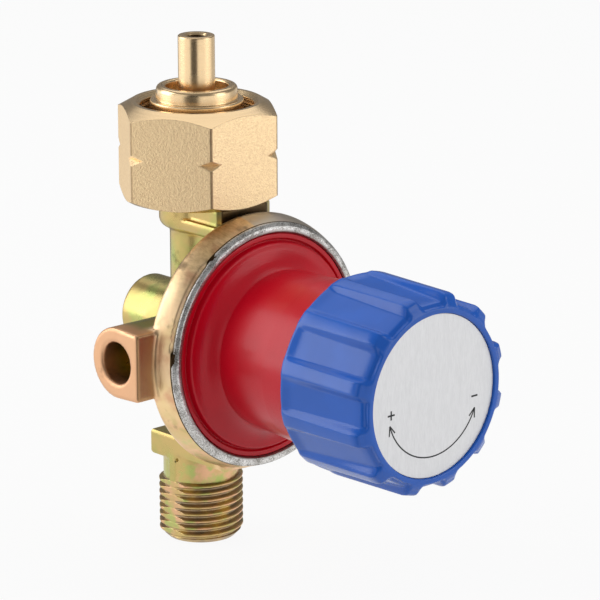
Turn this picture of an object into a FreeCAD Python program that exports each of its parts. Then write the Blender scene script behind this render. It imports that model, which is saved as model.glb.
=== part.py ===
import FreeCAD, Part
import math
import os

# Adjustable gas pressure regulator. The column (inlet above, outlet below) runs along Z, the
# adjusting knob points along -Y, the side port along -X, and the origin is the centre of the
# outlet's end face. All sizes are in millimetres. "Reach" is a distance from the column's axis
# towards the knob; "height" is a distance above the outlet's end face.

# Running and seating clearances
RUN_GAP = 0.05
SEAT_GAP = 0.02
FREE_GAP = 0.3

# Outlet and column of the casting
KNOB_AXIS_HEIGHT = 54.2
OUTLET_THREAD_RADIUS = 10.4775
OUTLET_THREAD_PITCH = 1.814
OUTLET_THREAD_DEPTH = 1.08
OUTLET_THREAD_CREST = 0.34
OUTLET_THREAD_LENGTH = 15.6
OUTLET_END_RADIUS = 8.6
OUTLET_END_CHAMFER = 1.9
OUTLET_BORE_RADIUS = 6.75
OUTLET_BORE_DEPTH = 17.0
RISER_RADIUS = 4.5
NECK_RADIUS = 9.35
PARTING_REACH = 9.5
PARTING_WIDTH = 2.3
BLOCK_BOTTOM = 21.1
BLOCK_THICKNESS = 6.1
BLOCK_STEP = 1.3
BLOCK_HALF_WIDTH = 9.5
BLOCK_BACK = 8.0
COLUMN_RADIUS = 7.0
WEB_HALF_WIDTH = 4.6
CAST_EDGE = 0.8

# Head of the casting, under the union nut; its rise is measured from the knob's axis
HEAD_RISE = 32.8
HEAD_RADIUS = 9.6
HEAD_THICKNESS = 7.4
HEAD_ROUND = 2.4
BAR_HALF_WIDTH = 8.9
BAR_STEP = 3.8
BAR_REACH = 16.6
PLATE_LEFT = 7.6
PLATE_RIGHT = 9.4
PLATE_CORNER = 1.1
PLATE_FACET = 2.0
PLATE_FACET_DEPTH = 0.6

# Dish, hub and rear boss of the casting
RIM_RADIUS = 31.8
DISH_BACK_REACH = 17.4
DISH_FLOOR_THICKNESS = 2.0
CHAMBER_RADIUS = 26.0
CHAMBER_DEPTH = 3.3
DIAPHRAGM_RADIUS = 29.0
DIAPHRAGM_THICKNESS = 1.2
BONNET_FLANGE_THICKNESS = 1.0
RIM_SIDE_REACH = 22.0
RIM_SIDE_ROUND = 3.0
CREASE_SETBACK = 1.0
CREASE_RADIUS = 30.15
LIP_THICKNESS = 1.1
LIP_OUTER_RADIUS = 29.3
LIP_INNER_RADIUS = 27.8
LIP_BEVEL = 0.45
RIM_BACK_ROUND = 1.1
HUB_RADIUS = 14.0
REAR_BOSS_RADIUS = 9.1
REAR_BOSS_LENGTH = 19.4
VALVE_BORE_RADIUS = 5.2
VALVE_BORE_BACK = 14.0
CHANNEL_RADIUS = 2.2
CHANNEL_DROP = 22.0
INLET_PASSAGE_RADIUS = 2.4

# Side port
PORT_FACE = 37.0
PORT_REACH = 12.3
PORT_ROUND_RADIUS = 8.7
PORT_FRONT = 8.0
PORT_HALF_HEIGHT = 8.3
PORT_BORE_RADIUS = 5.1
PORT_BORE_DEPTH = 12.0
PORT_CHAMFER = 0.4
PORT_DRILL_FLAT = 0.6
PORT_DRILL_ANGLE = 31

# Inlet nipple
NIPPLE_SHANK_RADIUS = 5.0
NIPPLE_SHANK_LENGTH = 9.0
NIPPLE_STEM_RADIUS = 8.0
NIPPLE_STEM_LENGTH = 19.9
NIPPLE_FLANGE_RADIUS = 11.4
NIPPLE_FLANGE_THICKNESS = 4.5
NOSE_RADIUS = 10.0
NOSE_TOP_RADIUS = 9.9
NOSE_LENGTH = 3.4
NOSE_ROUND = 1.1
NOSE_HOLLOW_RADIUS = 7.7
NOSE_HOLLOW_DEPTH = 3.8
SPIGOT_RADIUS = 4.5
SPIGOT_STANDOUT = 12.2
SPIGOT_BORE_RADIUS = 2.3
SPIGOT_CHAMFER = 0.6
FILTER_RADIUS = 3.0
FILTER_LENGTH = 5.0
FILTER_WALL = 0.7
NIPPLE_GASKET_WIDTH = 1.6
NIPPLE_GASKET_THICKNESS = 1.1

# Union nut, left-hand thread
NUT_ACROSS_FLATS = 36.0
NUT_HEIGHT = 23.9
NUT_CORNER_ANGLE = -1.4
NUT_TOP_FACE_RADIUS = 16.1
NUT_CHAMFER_SLOPE = math.tan(math.radians(30))
NUT_WEB = 5.4
NUT_THREAD_MINOR = 13.9
NUT_THREAD_DEPTH = 1.0
NUT_THREAD_PITCH = 2.0
NUT_THREAD_TURNS = 7
NUT_NOTCH_HEIGHT = 2.8
NUT_NOTCH_RADIUS = 19.4
NUT_NOTCH_LEVEL = 11.9
SLIP_WASHER_THICKNESS = 1.0
SLIP_WASHER_RADIUS = 12.4

# Valve, along the knob's axis
SEAT_INSERT_RADIUS = 7.0
SEAT_INSERT_BACK = 3.2
SEAT_HEX = 16.0
SEAT_HEX_THICKNESS = 3.0
SEAT_GASKET_THICKNESS = 0.6
SEAT_COUNTERBORE_RADIUS = 9.6
SEAT_COUNTERBORE_REACH = 15.5
SEAT_CHAMBER_RADIUS = 3.5
SEAT_WEB = 5.8
ORIFICE_RADIUS = 1.7
SEAT_LIP_HEIGHT = 0.8
SEAT_LIP_WIDTH = 0.7
PAD_RADIUS = 3.2
PAD_THICKNESS = 1.4
PAD_PROUD = 0.5
POPPET_LENGTH = 6.9
POPPET_SPIGOT_RADIUS = 2.2
POPPET_SPIGOT_LENGTH = 3.0
PUSH_PIN_RADIUS = 1.0
POPPET_WIRE = 0.8
POPPET_COIL_RADIUS = 3.6
POPPET_COIL_TURNS = 5

# Diaphragm stack
ROLL_INNER_RADIUS = 17.5
ROLL_OUTER_RADIUS = 23.0
ROLL_HEIGHT = 1.1
LOWER_PLATE_RADIUS = 15.0
LOWER_PLATE_THICKNESS = 1.0
UPPER_PLATE_RADIUS = 16.4
UPPER_PLATE_THICKNESS = 1.5
UPPER_PLATE_LIP = 2.0
STUD_RADIUS = 3.0
STUD_HEAD_RADIUS = 5.0
STUD_HEAD_THICKNESS = 0.8
STACK_NUT_ACROSS_FLATS = 10.0
STACK_NUT_THICKNESS = 3.2
STACK_WASHER_RADIUS = 5.6
STACK_WASHER_THICKNESS = 0.8

# Bonnet
ANNULUS_RISE = 0.6
ANNULUS_RADIUS = 27.6
GROOVE_OUTER_RADIUS = 26.4
GROOVE_INNER_RADIUS = 25.5
GROOVE_DEPTH = 0.7
SHOULDER_RADIUS = 25.0
SHOULDER_RISE = 1.0
SHOULDER_ROUND = 5.4
BONNET_NECK_RADIUS = 20.3
BONNET_NECK_REACH = 46.0
BONNET_WALL = 1.6
BONNET_END_REACH = 64.0
BONNET_END_WALL = 2.5
BONNET_END_ROUND = 2.5

# Adjusting screw, bush and main spring
SCREW_RADIUS = 5.0
SCREW_COLLAR_RADIUS = 6.8
SCREW_COLLAR_THICKNESS = 2.0
SCREW_TIP_LENGTH = 1.4
SCREW_DRIVE_RADIUS = 4.0
SCREW_DRIVE_FLAT = 3.1
BUSH_RADIUS = 8.0
BUSH_FLANGE_RADIUS = 11.0
BUSH_FLANGE_THICKNESS = 3.0
BUSH_STANDOUT = 2.0
BALL_RADIUS = 2.5
BUTTON_RADIUS = 14.4
BUTTON_THICKNESS = 3.0
BUTTON_PILOT = 4.0
MAIN_WIRE = 3.0
MAIN_COIL_RADIUS = 11.6
MAIN_COIL_TURNS = 4.75
ADJUST_TRAVEL = 7.5

# Knob, whose skirt laps over the bonnet's end
KNOB_LAP = 7.8
KNOB_LENGTH = 27.1
KNOB_FACE_STEP = 1.1
KNOB_FACE_TAPER = 0.5
KNOB_FACE_INSET = 0.1
KNOB_RIBS = 12
KNOB_RIB_PHASE = 15.5
KNOB_REAR_TIP_RADIUS = 24.8
KNOB_REAR_ROOT_RADIUS = 23.2
KNOB_FRONT_TIP_RADIUS = 23.4
KNOB_FRONT_ROOT_RADIUS = 21.9
KNOB_RIB_ANGLE = 13.0
KNOB_REAR_CHAMFER = 1.0
KNOB_RIB_END_CHAMFER = 1.0
KNOB_SKIRT_RADIUS = 21.5
KNOB_SKIRT_DRAFT = 0.6
KNOB_FRONT_WALL = 5.1
KNOB_HUB_RADIUS = 8.0
KNOB_HUB_GAP = 0.5
LABEL_RADIUS = 19.5
LABEL_THICKNESS = 0.4
LABEL_RECESS_DEPTH = 1.0
KNOB_SCREW_RADIUS = 2.0
KNOB_SCREW_HEAD_RADIUS = 3.8
KNOB_SCREW_HEAD_THICKNESS = 1.5
KNOB_SCREW_LENGTH = 9.0
KNOB_WASHER_RADIUS = 4.8
KNOB_WASHER_THICKNESS = 0.5
KNOB_SCREW_SLOT = 1.0

# Places that follow from the sizes above
THREAD_ROOT_RADIUS = OUTLET_THREAD_RADIUS - OUTLET_THREAD_DEPTH
BLOCK_TOP = BLOCK_BOTTOM + BLOCK_THICKNESS
HEAD_TOP = KNOB_AXIS_HEIGHT + HEAD_RISE
HEAD_BOTTOM = HEAD_TOP - HEAD_THICKNESS
BAR_TOP = HEAD_TOP - BAR_STEP
NIPPLE_FLANGE_BOTTOM = HEAD_TOP + NIPPLE_STEM_LENGTH
NIPPLE_FLANGE_TOP = NIPPLE_FLANGE_BOTTOM + NIPPLE_FLANGE_THICKNESS
NOSE_TOP = NIPPLE_FLANGE_TOP + NOSE_LENGTH
SPIGOT_TOP = NOSE_TOP + SPIGOT_STANDOUT
CHAMBER_FLOOR = DISH_BACK_REACH + DISH_FLOOR_THICKNESS
DIAPHRAGM_BACK = CHAMBER_FLOOR + CHAMBER_DEPTH
DIAPHRAGM_FRONT = DIAPHRAGM_BACK + DIAPHRAGM_THICKNESS
BONNET_FACE = DIAPHRAGM_FRONT + BONNET_FLANGE_THICKNESS
LIP_FACE = BONNET_FACE + LIP_THICKNESS
RECESS_RADIUS = DIAPHRAGM_RADIUS + 2 * RUN_GAP
SEAT_HEX_BACK = SEAT_COUNTERBORE_REACH + SEAT_GASKET_THICKNESS
SEAT_HEX_FRONT = SEAT_HEX_BACK + SEAT_HEX_THICKNESS
SEAT_LIP_REACH = SEAT_INSERT_BACK - SEAT_LIP_HEIGHT
PAD_BACK = SEAT_LIP_REACH - PAD_THICKNESS
POPPET_FRONT = SEAT_LIP_REACH - PAD_PROUD
POPPET_BACK = POPPET_FRONT - POPPET_LENGTH
LOWER_PLATE_BACK = DIAPHRAGM_BACK - LOWER_PLATE_THICKNESS
STUD_HEAD_BACK = LOWER_PLATE_BACK - STUD_HEAD_THICKNESS
UPPER_PLATE_FRONT = DIAPHRAGM_FRONT + UPPER_PLATE_THICKNESS
STACK_NUT_BACK = UPPER_PLATE_FRONT + STACK_WASHER_THICKNESS
STACK_NUT_FRONT = STACK_NUT_BACK + STACK_NUT_THICKNESS
ANNULUS_FACE = BONNET_FACE + ANNULUS_RISE
SHOULDER_REACH = ANNULUS_FACE + SHOULDER_RISE
NECK_START_REACH = SHOULDER_REACH + SHOULDER_ROUND
NECK_START_RADIUS = SHOULDER_RADIUS - SHOULDER_ROUND
BONNET_END_INNER = BONNET_END_REACH - BONNET_END_WALL
BUSH_BACK = BONNET_END_INNER - BUSH_FLANGE_THICKNESS
BUSH_FRONT = BONNET_END_REACH + BUSH_STANDOUT
COLLAR_FRONT = BUSH_BACK - SEAT_GAP
COLLAR_BACK = COLLAR_FRONT - SCREW_COLLAR_THICKNESS
SCREW_BACK = COLLAR_BACK - SCREW_TIP_LENGTH
BALL_REACH = SCREW_BACK - FREE_GAP
BUTTON_FRONT = BALL_REACH - FREE_GAP
BUTTON_BACK = BUTTON_FRONT - BUTTON_THICKNESS
KNOB_HUB_BACK = BUSH_FRONT + ADJUST_TRAVEL + KNOB_HUB_GAP
KNOB_REAR_REACH = BONNET_END_REACH - KNOB_LAP
KNOB_FRONT_REACH = KNOB_REAR_REACH + KNOB_LENGTH
KNOB_RIB_FRONT_REACH = KNOB_FRONT_REACH - KNOB_FACE_STEP
KNOB_WEB_REACH = KNOB_FRONT_REACH - KNOB_FRONT_WALL
LABEL_BACK = KNOB_FRONT_REACH - LABEL_RECESS_DEPTH
LABEL_FRONT = LABEL_BACK + LABEL_THICKNESS
KNOB_POCKET_RADIUS = KNOB_WASHER_RADIUS + FREE_GAP
KNOB_POCKET_REACH = LABEL_BACK - KNOB_SCREW_HEAD_THICKNESS - KNOB_WASHER_THICKNESS - FREE_GAP
NUT_BOTTOM = HEAD_TOP
NUT_TOP = NUT_BOTTOM + NUT_HEIGHT
NUT_SHOULDER = NUT_BOTTOM + NUT_WEB
NUT_CORNER_RADIUS = NUT_ACROSS_FLATS / 2 / math.cos(math.radians(30))
NUT_LIFT = NIPPLE_FLANGE_BOTTOM - NUT_SHOULDER - SLIP_WASHER_THICKNESS
OVERRUN = 1.0

Z_AXIS = FreeCAD.Vector(0, 0, 1)
KNOB_DIRECTION = FreeCAD.Vector(0, -1, 0)
PORT_DIRECTION = FreeCAD.Vector(-1, 0, 0)
KNOB_CENTRE = FreeCAD.Vector(0, 0, KNOB_AXIS_HEIGHT)
ORIGIN = FreeCAD.Vector(0, 0, 0)


def on_column(height, radius):
    return FreeCAD.Vector(radius, 0, height)


def on_knob_axis(reach, radius):
    return FreeCAD.Vector(radius, -reach, KNOB_AXIS_HEIGHT)


def corner_arc(before, corner, after, radius):
    """Start, middle and end of the arc of the given radius that rounds a corner."""
    arm_in = (before - corner).normalize()
    arm_out = (after - corner).normalize()
    half = arm_in.getAngle(arm_out) / 2
    start = corner + arm_in * (radius / math.tan(half))
    end = corner + arm_out * (radius / math.tan(half))
    inward = (arm_in + arm_out).normalize()
    middle = corner + inward * (radius / math.sin(half) - radius)
    return start, middle, end


def outline(points, place):
    """Closed wire through points of (along, across), or (along, across, corner radius)."""
    spots = [place(point[0], point[1]) for point in points]
    radii = [point[2] if len(point) > 2 else 0 for point in points]
    edges = []
    last = None
    first = None
    for index, spot in enumerate(spots):
        if radii[index]:
            after = spots[(index + 1) % len(spots)]
            start, middle, end = corner_arc(spots[index - 1], spot, after, radii[index])
        else:
            start, middle, end = spot, None, spot
        if last is not None and last.distanceToPoint(start) > 1e-6:
            edges.append(Part.LineSegment(last, start).toShape())
        if middle is not None:
            edges.append(Part.Arc(start, middle, end).toShape())
        if first is None:
            first = start
        last = end
    if last.distanceToPoint(first) > 1e-6:
        edges.append(Part.LineSegment(last, first).toShape())
    return Part.Wire(edges)


def turned(points):
    """Solid of revolution about the column; points are (height, radius, corner radius)."""
    return Part.Face(outline(points, on_column)).revolve(ORIGIN, Z_AXIS, 360)


def turned_on_knob(points):
    """Solid of revolution about the knob's axis; points are (reach, radius, corner radius)."""
    return Part.Face(outline(points, on_knob_axis)).revolve(KNOB_CENTRE, KNOB_DIRECTION, 360)


def ring(low, high, inner, outer):
    """Washer or tube about the column."""
    return turned([(low, inner), (high, inner), (high, outer), (low, outer)])


def ring_on_knob(back, front, inner, outer):
    """Washer or tube about the knob's axis."""
    return turned_on_knob([(back, inner), (front, inner), (front, outer), (back, outer)])


def rod_on_knob(back, front, radius):
    return Part.makeCylinder(radius, front - back, on_knob_axis(back, 0), KNOB_DIRECTION)


def block(half_width, back, front, low, high):
    """Box centred on X, from reach back to reach front and between two heights."""
    corner = FreeCAD.Vector(-half_width, -front, low)
    return Part.makeBox(2 * half_width, front - back, high - low, corner)


def hexagon_on_knob(across_flats, back, front):
    corner_radius = across_flats / 2 / math.cos(math.radians(30))
    corners = []
    for side in range(6):
        angle = math.radians(60 * side)
        x = corner_radius * math.cos(angle)
        z = corner_radius * math.sin(angle)
        corners.append(FreeCAD.Vector(x, -back, KNOB_AXIS_HEIGHT + z))
    wire = Part.makePolygon(corners + corners[:1])
    return Part.Face(wire).extrude(KNOB_DIRECTION * (front - back))


def edges_near(shape, test):
    return [edge for edge in shape.Edges if test(edge)]


def spring(back, front, wire_diameter, coil_radius, turns):
    """Open coil about the knob's axis between two flat faces, one tube on tangent arcs."""
    steps = int(round(turns * 4))
    start = back + wire_diameter / 2 + FREE_GAP
    rise = (front - back - wire_diameter - 2 * FREE_GAP) / steps
    quarter = math.pi / 2
    climb = rise / quarter

    def point(step):
        angle = step * quarter
        x = coil_radius * math.cos(angle)
        z = coil_radius * math.sin(angle)
        return FreeCAD.Vector(x, -(start + rise * step), KNOB_AXIS_HEIGHT + z)

    def tangent(step):
        angle = step * quarter
        x = -coil_radius * math.sin(angle)
        z = coil_radius * math.cos(angle)
        return FreeCAD.Vector(x, -climb, z).normalize()

    def arc(begin, heading, end):
        chord = end - begin
        side = chord - heading * chord.dot(heading)
        radius = chord.Length ** 2 / (2 * side.Length)
        centre = begin + side.normalize() * radius
        middle = centre + ((begin + end) * 0.5 - centre).normalize() * radius
        return Part.Arc(begin, middle, end).toShape()

    edges = []
    for step in range(steps):
        p0, p1 = point(step), point(step + 1)
        t0, t1 = tangent(step), tangent(step + 1)
        span = p1 - p0
        both = span.dot(t0 + t1)
        turn = 2 * (1 - t0.dot(t1))
        arm = (math.sqrt(both ** 2 + turn * span.dot(span)) - both) / turn
        joint = (p0 + p1 + (t0 - t1) * arm) * 0.5
        edges.append(arc(p0, t0, joint))
        edges.append(arc(p1, t1 * -1, joint))
    path = Part.Wire(Part.__sortEdges__(edges))
    section = Part.Wire(Part.makeCircle(wire_diameter / 2, point(0), tangent(0)))
    shell = Part.BRepOffsetAPI.MakePipeShell(path)
    shell.add(section)
    shell.build()
    shell.makeSolid()
    print("coil of wire", wire_diameter, "has a gap of", round(rise * 4 - wire_diameter, 3))
    return shell.shape()


def thread_groove(low):
    """One turn of the outlet thread's helical groove, starting at a height."""
    helix = Part.makeHelix(OUTLET_THREAD_PITCH, OUTLET_THREAD_PITCH, OUTLET_THREAD_RADIUS)
    helix.translate(on_column(low, 0))
    half_root = OUTLET_THREAD_CREST / 2
    slope = (OUTLET_THREAD_PITCH / 2 - 2 * half_root) / OUTLET_THREAD_DEPTH
    mouth_radius = OUTLET_THREAD_RADIUS + FREE_GAP
    half_mouth = half_root + slope * (mouth_radius - THREAD_ROOT_RADIUS)
    profile = outline([
        (low - half_mouth, mouth_radius),
        (low - half_root, THREAD_ROOT_RADIUS),
        (low + half_root, THREAD_ROOT_RADIUS),
        (low + half_mouth, mouth_radius),
    ], on_column)
    return Part.Wire(helix.Edges).makePipeShell([profile], True, True)


def outlet():
    """Threaded outlet and round neck, with the flats that the forging's parting leaves."""
    body = turned([
        (0, 0),
        (0, OUTLET_END_RADIUS),
        (OUTLET_END_CHAMFER, OUTLET_THREAD_RADIUS),
        (OUTLET_THREAD_LENGTH, OUTLET_THREAD_RADIUS),
        (OUTLET_THREAD_LENGTH, 0),
    ])
    turns = math.ceil(OUTLET_THREAD_LENGTH / OUTLET_THREAD_PITCH) + 1
    for turn in range(turns):
        body = body.cut(thread_groove((turn - 1) * OUTLET_THREAD_PITCH))
    neck_top = BLOCK_BOTTOM + BLOCK_STEP
    neck_height = neck_top - OUTLET_THREAD_LENGTH
    neck = Part.makeCylinder(NECK_RADIUS, neck_height, on_column(OUTLET_THREAD_LENGTH, 0))
    behind = block(NECK_RADIUS, -NECK_RADIUS - OVERRUN, 0, BLOCK_BOTTOM, neck_top)
    neck = neck.cut(behind)
    seam = block(PARTING_REACH, -PARTING_WIDTH / 2, PARTING_WIDTH / 2,
                 OUTLET_THREAD_LENGTH, BLOCK_BOTTOM)
    blank = block(PARTING_REACH, -OUTLET_THREAD_RADIUS, OUTLET_THREAD_RADIUS,
                  0, OUTLET_THREAD_LENGTH)
    return body.common(blank).fuse([neck, seam])


def head():
    """Round head with its rounded underside, and the stepped bar that runs to the dish."""
    round_head = turned([
        (HEAD_BOTTOM, 0),
        (HEAD_BOTTOM, HEAD_RADIUS, HEAD_ROUND),
        (HEAD_TOP, HEAD_RADIUS),
        (HEAD_TOP, 0),
    ])
    bar = block(BAR_HALF_WIDTH, 0, BAR_REACH, HEAD_BOTTOM, BAR_TOP)
    low_edges = edges_near(bar, lambda edge: abs(edge.CenterOfMass.z - HEAD_BOTTOM) < 1e-6
                           and abs(edge.CenterOfMass.x) > BAR_HALF_WIDTH / 2)
    bar = bar.makeFillet(HEAD_ROUND, low_edges)
    footprint = [
        (-PLATE_LEFT, 0),
        (-PLATE_LEFT, PLATE_CORNER - BAR_REACH),
        (PLATE_CORNER - PLATE_LEFT, -BAR_REACH),
        (PLATE_RIGHT - PLATE_FACET, -BAR_REACH),
        (PLATE_RIGHT, PLATE_FACET_DEPTH - BAR_REACH),
        (PLATE_RIGHT, 0),
    ]
    low = BAR_TOP - OVERRUN
    plate = Part.Face(outline(footprint, lambda x, y: FreeCAD.Vector(x, y, low)))
    plate = plate.extrude(Z_AXIS * (HEAD_TOP - low))
    return round_head.fuse([bar, plate])


def dish():
    """Dish for the diaphragm, whose rim is rolled over the bonnet's flange."""
    return turned_on_knob([
        (DISH_BACK_REACH, 0),
        (DISH_BACK_REACH, RIM_RADIUS, RIM_BACK_ROUND),
        (RIM_SIDE_REACH, RIM_RADIUS, RIM_SIDE_ROUND),
        (LIP_FACE - CREASE_SETBACK, CREASE_RADIUS),
        (LIP_FACE, LIP_OUTER_RADIUS, LIP_BEVEL),
        (LIP_FACE, LIP_INNER_RADIUS + LIP_BEVEL),
        (LIP_FACE - LIP_BEVEL, LIP_INNER_RADIUS),
        (BONNET_FACE + SEAT_GAP, LIP_INNER_RADIUS),
        (BONNET_FACE + SEAT_GAP, RECESS_RADIUS),
        (DIAPHRAGM_BACK, RECESS_RADIUS),
        (DIAPHRAGM_BACK, CHAMBER_RADIUS),
        (CHAMBER_FLOOR, CHAMBER_RADIUS, CAST_EDGE),
        (CHAMBER_FLOOR, 0),
    ])


def side_port():
    """Boss with a round back and a flat front, its top and bottom tangent to the back."""
    corner_angle = math.atan2(PORT_HALF_HEIGHT, PORT_FRONT)
    corner_distance = math.hypot(PORT_HALF_HEIGHT, PORT_FRONT)
    tangent_angle = corner_angle + math.acos(PORT_ROUND_RADIUS / corner_distance)

    def spot(across, up):
        return FreeCAD.Vector(-PORT_FACE, -PORT_REACH - across, KNOB_AXIS_HEIGHT + up)

    along = PORT_ROUND_RADIUS * math.cos(tangent_angle)
    aside = PORT_ROUND_RADIUS * math.sin(tangent_angle)
    top, bottom = spot(along, aside), spot(along, -aside)
    top_corner = spot(PORT_FRONT, PORT_HALF_HEIGHT)
    bottom_corner = spot(PORT_FRONT, -PORT_HALF_HEIGHT)
    edges = [
        Part.LineSegment(bottom, bottom_corner).toShape(),
        Part.LineSegment(bottom_corner, top_corner).toShape(),
        Part.LineSegment(top_corner, top).toShape(),
        Part.Arc(top, spot(-PORT_ROUND_RADIUS, 0), bottom).toShape(),
    ]
    face = Part.Face(Part.Wire(edges))
    return face.extrude(PORT_DIRECTION * (COLUMN_RADIUS / 2 - PORT_FACE))


def port_bore():
    tip = (PORT_BORE_RADIUS - PORT_DRILL_FLAT) * math.tan(math.radians(PORT_DRILL_ANGLE))

    def place(depth, radius):
        return FreeCAD.Vector(-PORT_FACE + depth, -PORT_REACH + radius, KNOB_AXIS_HEIGHT)

    profile = outline([
        (-OVERRUN, 0),
        (-OVERRUN, PORT_BORE_RADIUS + PORT_CHAMFER + OVERRUN),
        (PORT_CHAMFER, PORT_BORE_RADIUS),
        (PORT_BORE_DEPTH, PORT_BORE_RADIUS),
        (PORT_BORE_DEPTH + tip, PORT_DRILL_FLAT),
        (PORT_BORE_DEPTH + tip, 0),
    ], place)
    centre = FreeCAD.Vector(0, -PORT_REACH, KNOB_AXIS_HEIGHT)
    return Part.Face(profile).revolve(centre, PORT_DIRECTION, 360)


def body_casting():
    top = HEAD_BOTTOM + HEAD_ROUND
    column = Part.makeCylinder(COLUMN_RADIUS, top - BLOCK_BOTTOM, on_column(BLOCK_BOTTOM, 0))
    front_reach = DISH_BACK_REACH + OVERRUN
    lower = block(BLOCK_HALF_WIDTH, -BLOCK_BACK, front_reach, BLOCK_BOTTOM, BLOCK_TOP)
    upright = edges_near(lower, lambda edge: edge.CenterOfMass.y > BLOCK_BACK - 1e-6
                         and abs(edge.CenterOfMass.x) > BLOCK_HALF_WIDTH / 2)
    lower = lower.makeFillet(CAST_EDGE, upright)
    step_top = BLOCK_BOTTOM + BLOCK_STEP
    lower = lower.cut(block(BLOCK_HALF_WIDTH + OVERRUN, PARTING_WIDTH / 2,
                            front_reach + OVERRUN, BLOCK_BOTTOM - OVERRUN, step_top))
    web = block(WEB_HALF_WIDTH, 0, DISH_BACK_REACH + OVERRUN / 2, BLOCK_BOTTOM, BAR_TOP)
    hub = rod_on_knob(0, DISH_BACK_REACH + OVERRUN / 2, HUB_RADIUS)
    boss = turned_on_knob([
        (-REAR_BOSS_LENGTH, 0),
        (-REAR_BOSS_LENGTH, REAR_BOSS_RADIUS, CAST_EDGE),
        (OVERRUN, REAR_BOSS_RADIUS),
        (OVERRUN, 0),
    ])
    body = outlet().fuse([column, lower, web, hub, boss, dish(), side_port(), head()])
    gasket_seat = HEAD_TOP - NIPPLE_GASKET_THICKNESS
    gasket_radius = NIPPLE_SHANK_RADIUS + NIPPLE_GASKET_WIDTH + 2 * RUN_GAP
    shank_hole = NIPPLE_SHANK_RADIUS + SEAT_GAP
    riser_top = KNOB_AXIS_HEIGHT - CHANNEL_DROP + CHANNEL_RADIUS + OVERRUN
    cuts = [
        Part.makeCylinder(OUTLET_BORE_RADIUS, OUTLET_BORE_DEPTH + OVERRUN, on_column(-OVERRUN, 0)),
        Part.makeCylinder(RISER_RADIUS, riser_top, ORIGIN),
        rod_on_knob(0, CHAMBER_FLOOR + OVERRUN, CHANNEL_RADIUS).translated(
            FreeCAD.Vector(0, 0, -CHANNEL_DROP)),
        rod_on_knob(-VALVE_BORE_BACK, SEAT_COUNTERBORE_REACH, VALVE_BORE_RADIUS),
        rod_on_knob(SEAT_INSERT_BACK - FREE_GAP, SEAT_COUNTERBORE_REACH,
                    SEAT_INSERT_RADIUS + SEAT_GAP),
        rod_on_knob(SEAT_COUNTERBORE_REACH, CHAMBER_FLOOR + OVERRUN, SEAT_COUNTERBORE_RADIUS),
        Part.makeCylinder(INLET_PASSAGE_RADIUS, HEAD_TOP - KNOB_AXIS_HEIGHT, KNOB_CENTRE),
        Part.makeCylinder(shank_hole, NIPPLE_SHANK_LENGTH + FREE_GAP + OVERRUN,
                          on_column(HEAD_TOP - NIPPLE_SHANK_LENGTH - FREE_GAP, 0)),
        Part.makeCylinder(gasket_radius, NIPPLE_GASKET_THICKNESS + OVERRUN,
                          on_column(gasket_seat, 0)),
        port_bore(),
    ]
    for cut in cuts:
        body = body.cut(cut)
    return body.removeSplitter()


def bonnet():
    """Trumpet-shaped cover: flange, groove, concave shoulder and slightly flared neck."""
    wall_round = SHOULDER_ROUND + BONNET_WALL
    bend = math.sqrt(0.5)
    inner_start = NECK_START_RADIUS - BONNET_WALL
    inner_front = BONNET_NECK_RADIUS - BONNET_WALL
    outside = [
        (DIAPHRAGM_FRONT, DIAPHRAGM_RADIUS),
        (BONNET_FACE, DIAPHRAGM_RADIUS),
        (BONNET_FACE, ANNULUS_RADIUS),
        (ANNULUS_FACE, ANNULUS_RADIUS),
        (ANNULUS_FACE, GROOVE_OUTER_RADIUS),
        (ANNULUS_FACE - GROOVE_DEPTH, GROOVE_OUTER_RADIUS - GROOVE_DEPTH / 3),
        (ANNULUS_FACE - GROOVE_DEPTH, GROOVE_INNER_RADIUS + GROOVE_DEPTH / 3),
        (SHOULDER_REACH, GROOVE_INNER_RADIUS),
        (SHOULDER_REACH, SHOULDER_RADIUS),
    ]
    neck = [
        (NECK_START_REACH, NECK_START_RADIUS),
        (BONNET_NECK_REACH, BONNET_NECK_RADIUS),
        (BONNET_END_REACH - BONNET_END_ROUND, BONNET_NECK_RADIUS),
    ]
    end = [
        (BONNET_END_REACH, BONNET_NECK_RADIUS - BONNET_END_ROUND),
        (BONNET_END_REACH, BUSH_RADIUS + SEAT_GAP),
        (BONNET_END_INNER, BUSH_RADIUS + SEAT_GAP),
        (BONNET_END_INNER, inner_front),
        (BONNET_NECK_REACH, inner_front),
        (NECK_START_REACH, inner_start),
    ]
    inside = [
        (NECK_START_REACH - wall_round, SHOULDER_RADIUS),
        (DIAPHRAGM_FRONT, CHAMBER_RADIUS),
    ]

    def run(points):
        spots = [on_knob_axis(*point) for point in points]
        return [Part.LineSegment(a, b).toShape() for a, b in zip(spots, spots[1:])]

    def bow(start, centre, radius, side, finish):
        middle = on_knob_axis(centre[0] + side[0] * radius, centre[1] + side[1] * radius)
        return [Part.Arc(on_knob_axis(*start), middle, on_knob_axis(*finish)).toShape()]

    shoulder_centre = (NECK_START_REACH, SHOULDER_RADIUS)
    end_centre = (BONNET_END_REACH - BONNET_END_ROUND, BONNET_NECK_RADIUS - BONNET_END_ROUND)
    edges = run(outside)
    edges += bow(outside[-1], shoulder_centre, SHOULDER_ROUND, (-bend, -bend), neck[0])
    edges += run(neck)
    edges += bow(neck[-1], end_centre, BONNET_END_ROUND, (bend, bend), end[0])
    edges += run(end)
    edges += bow(end[-1], shoulder_centre, wall_round, (-bend, -bend), inside[0])
    edges += run(inside + outside[:1])
    face = Part.Face(Part.Wire(edges))
    return face.revolve(KNOB_CENTRE, KNOB_DIRECTION, 360)


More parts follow.
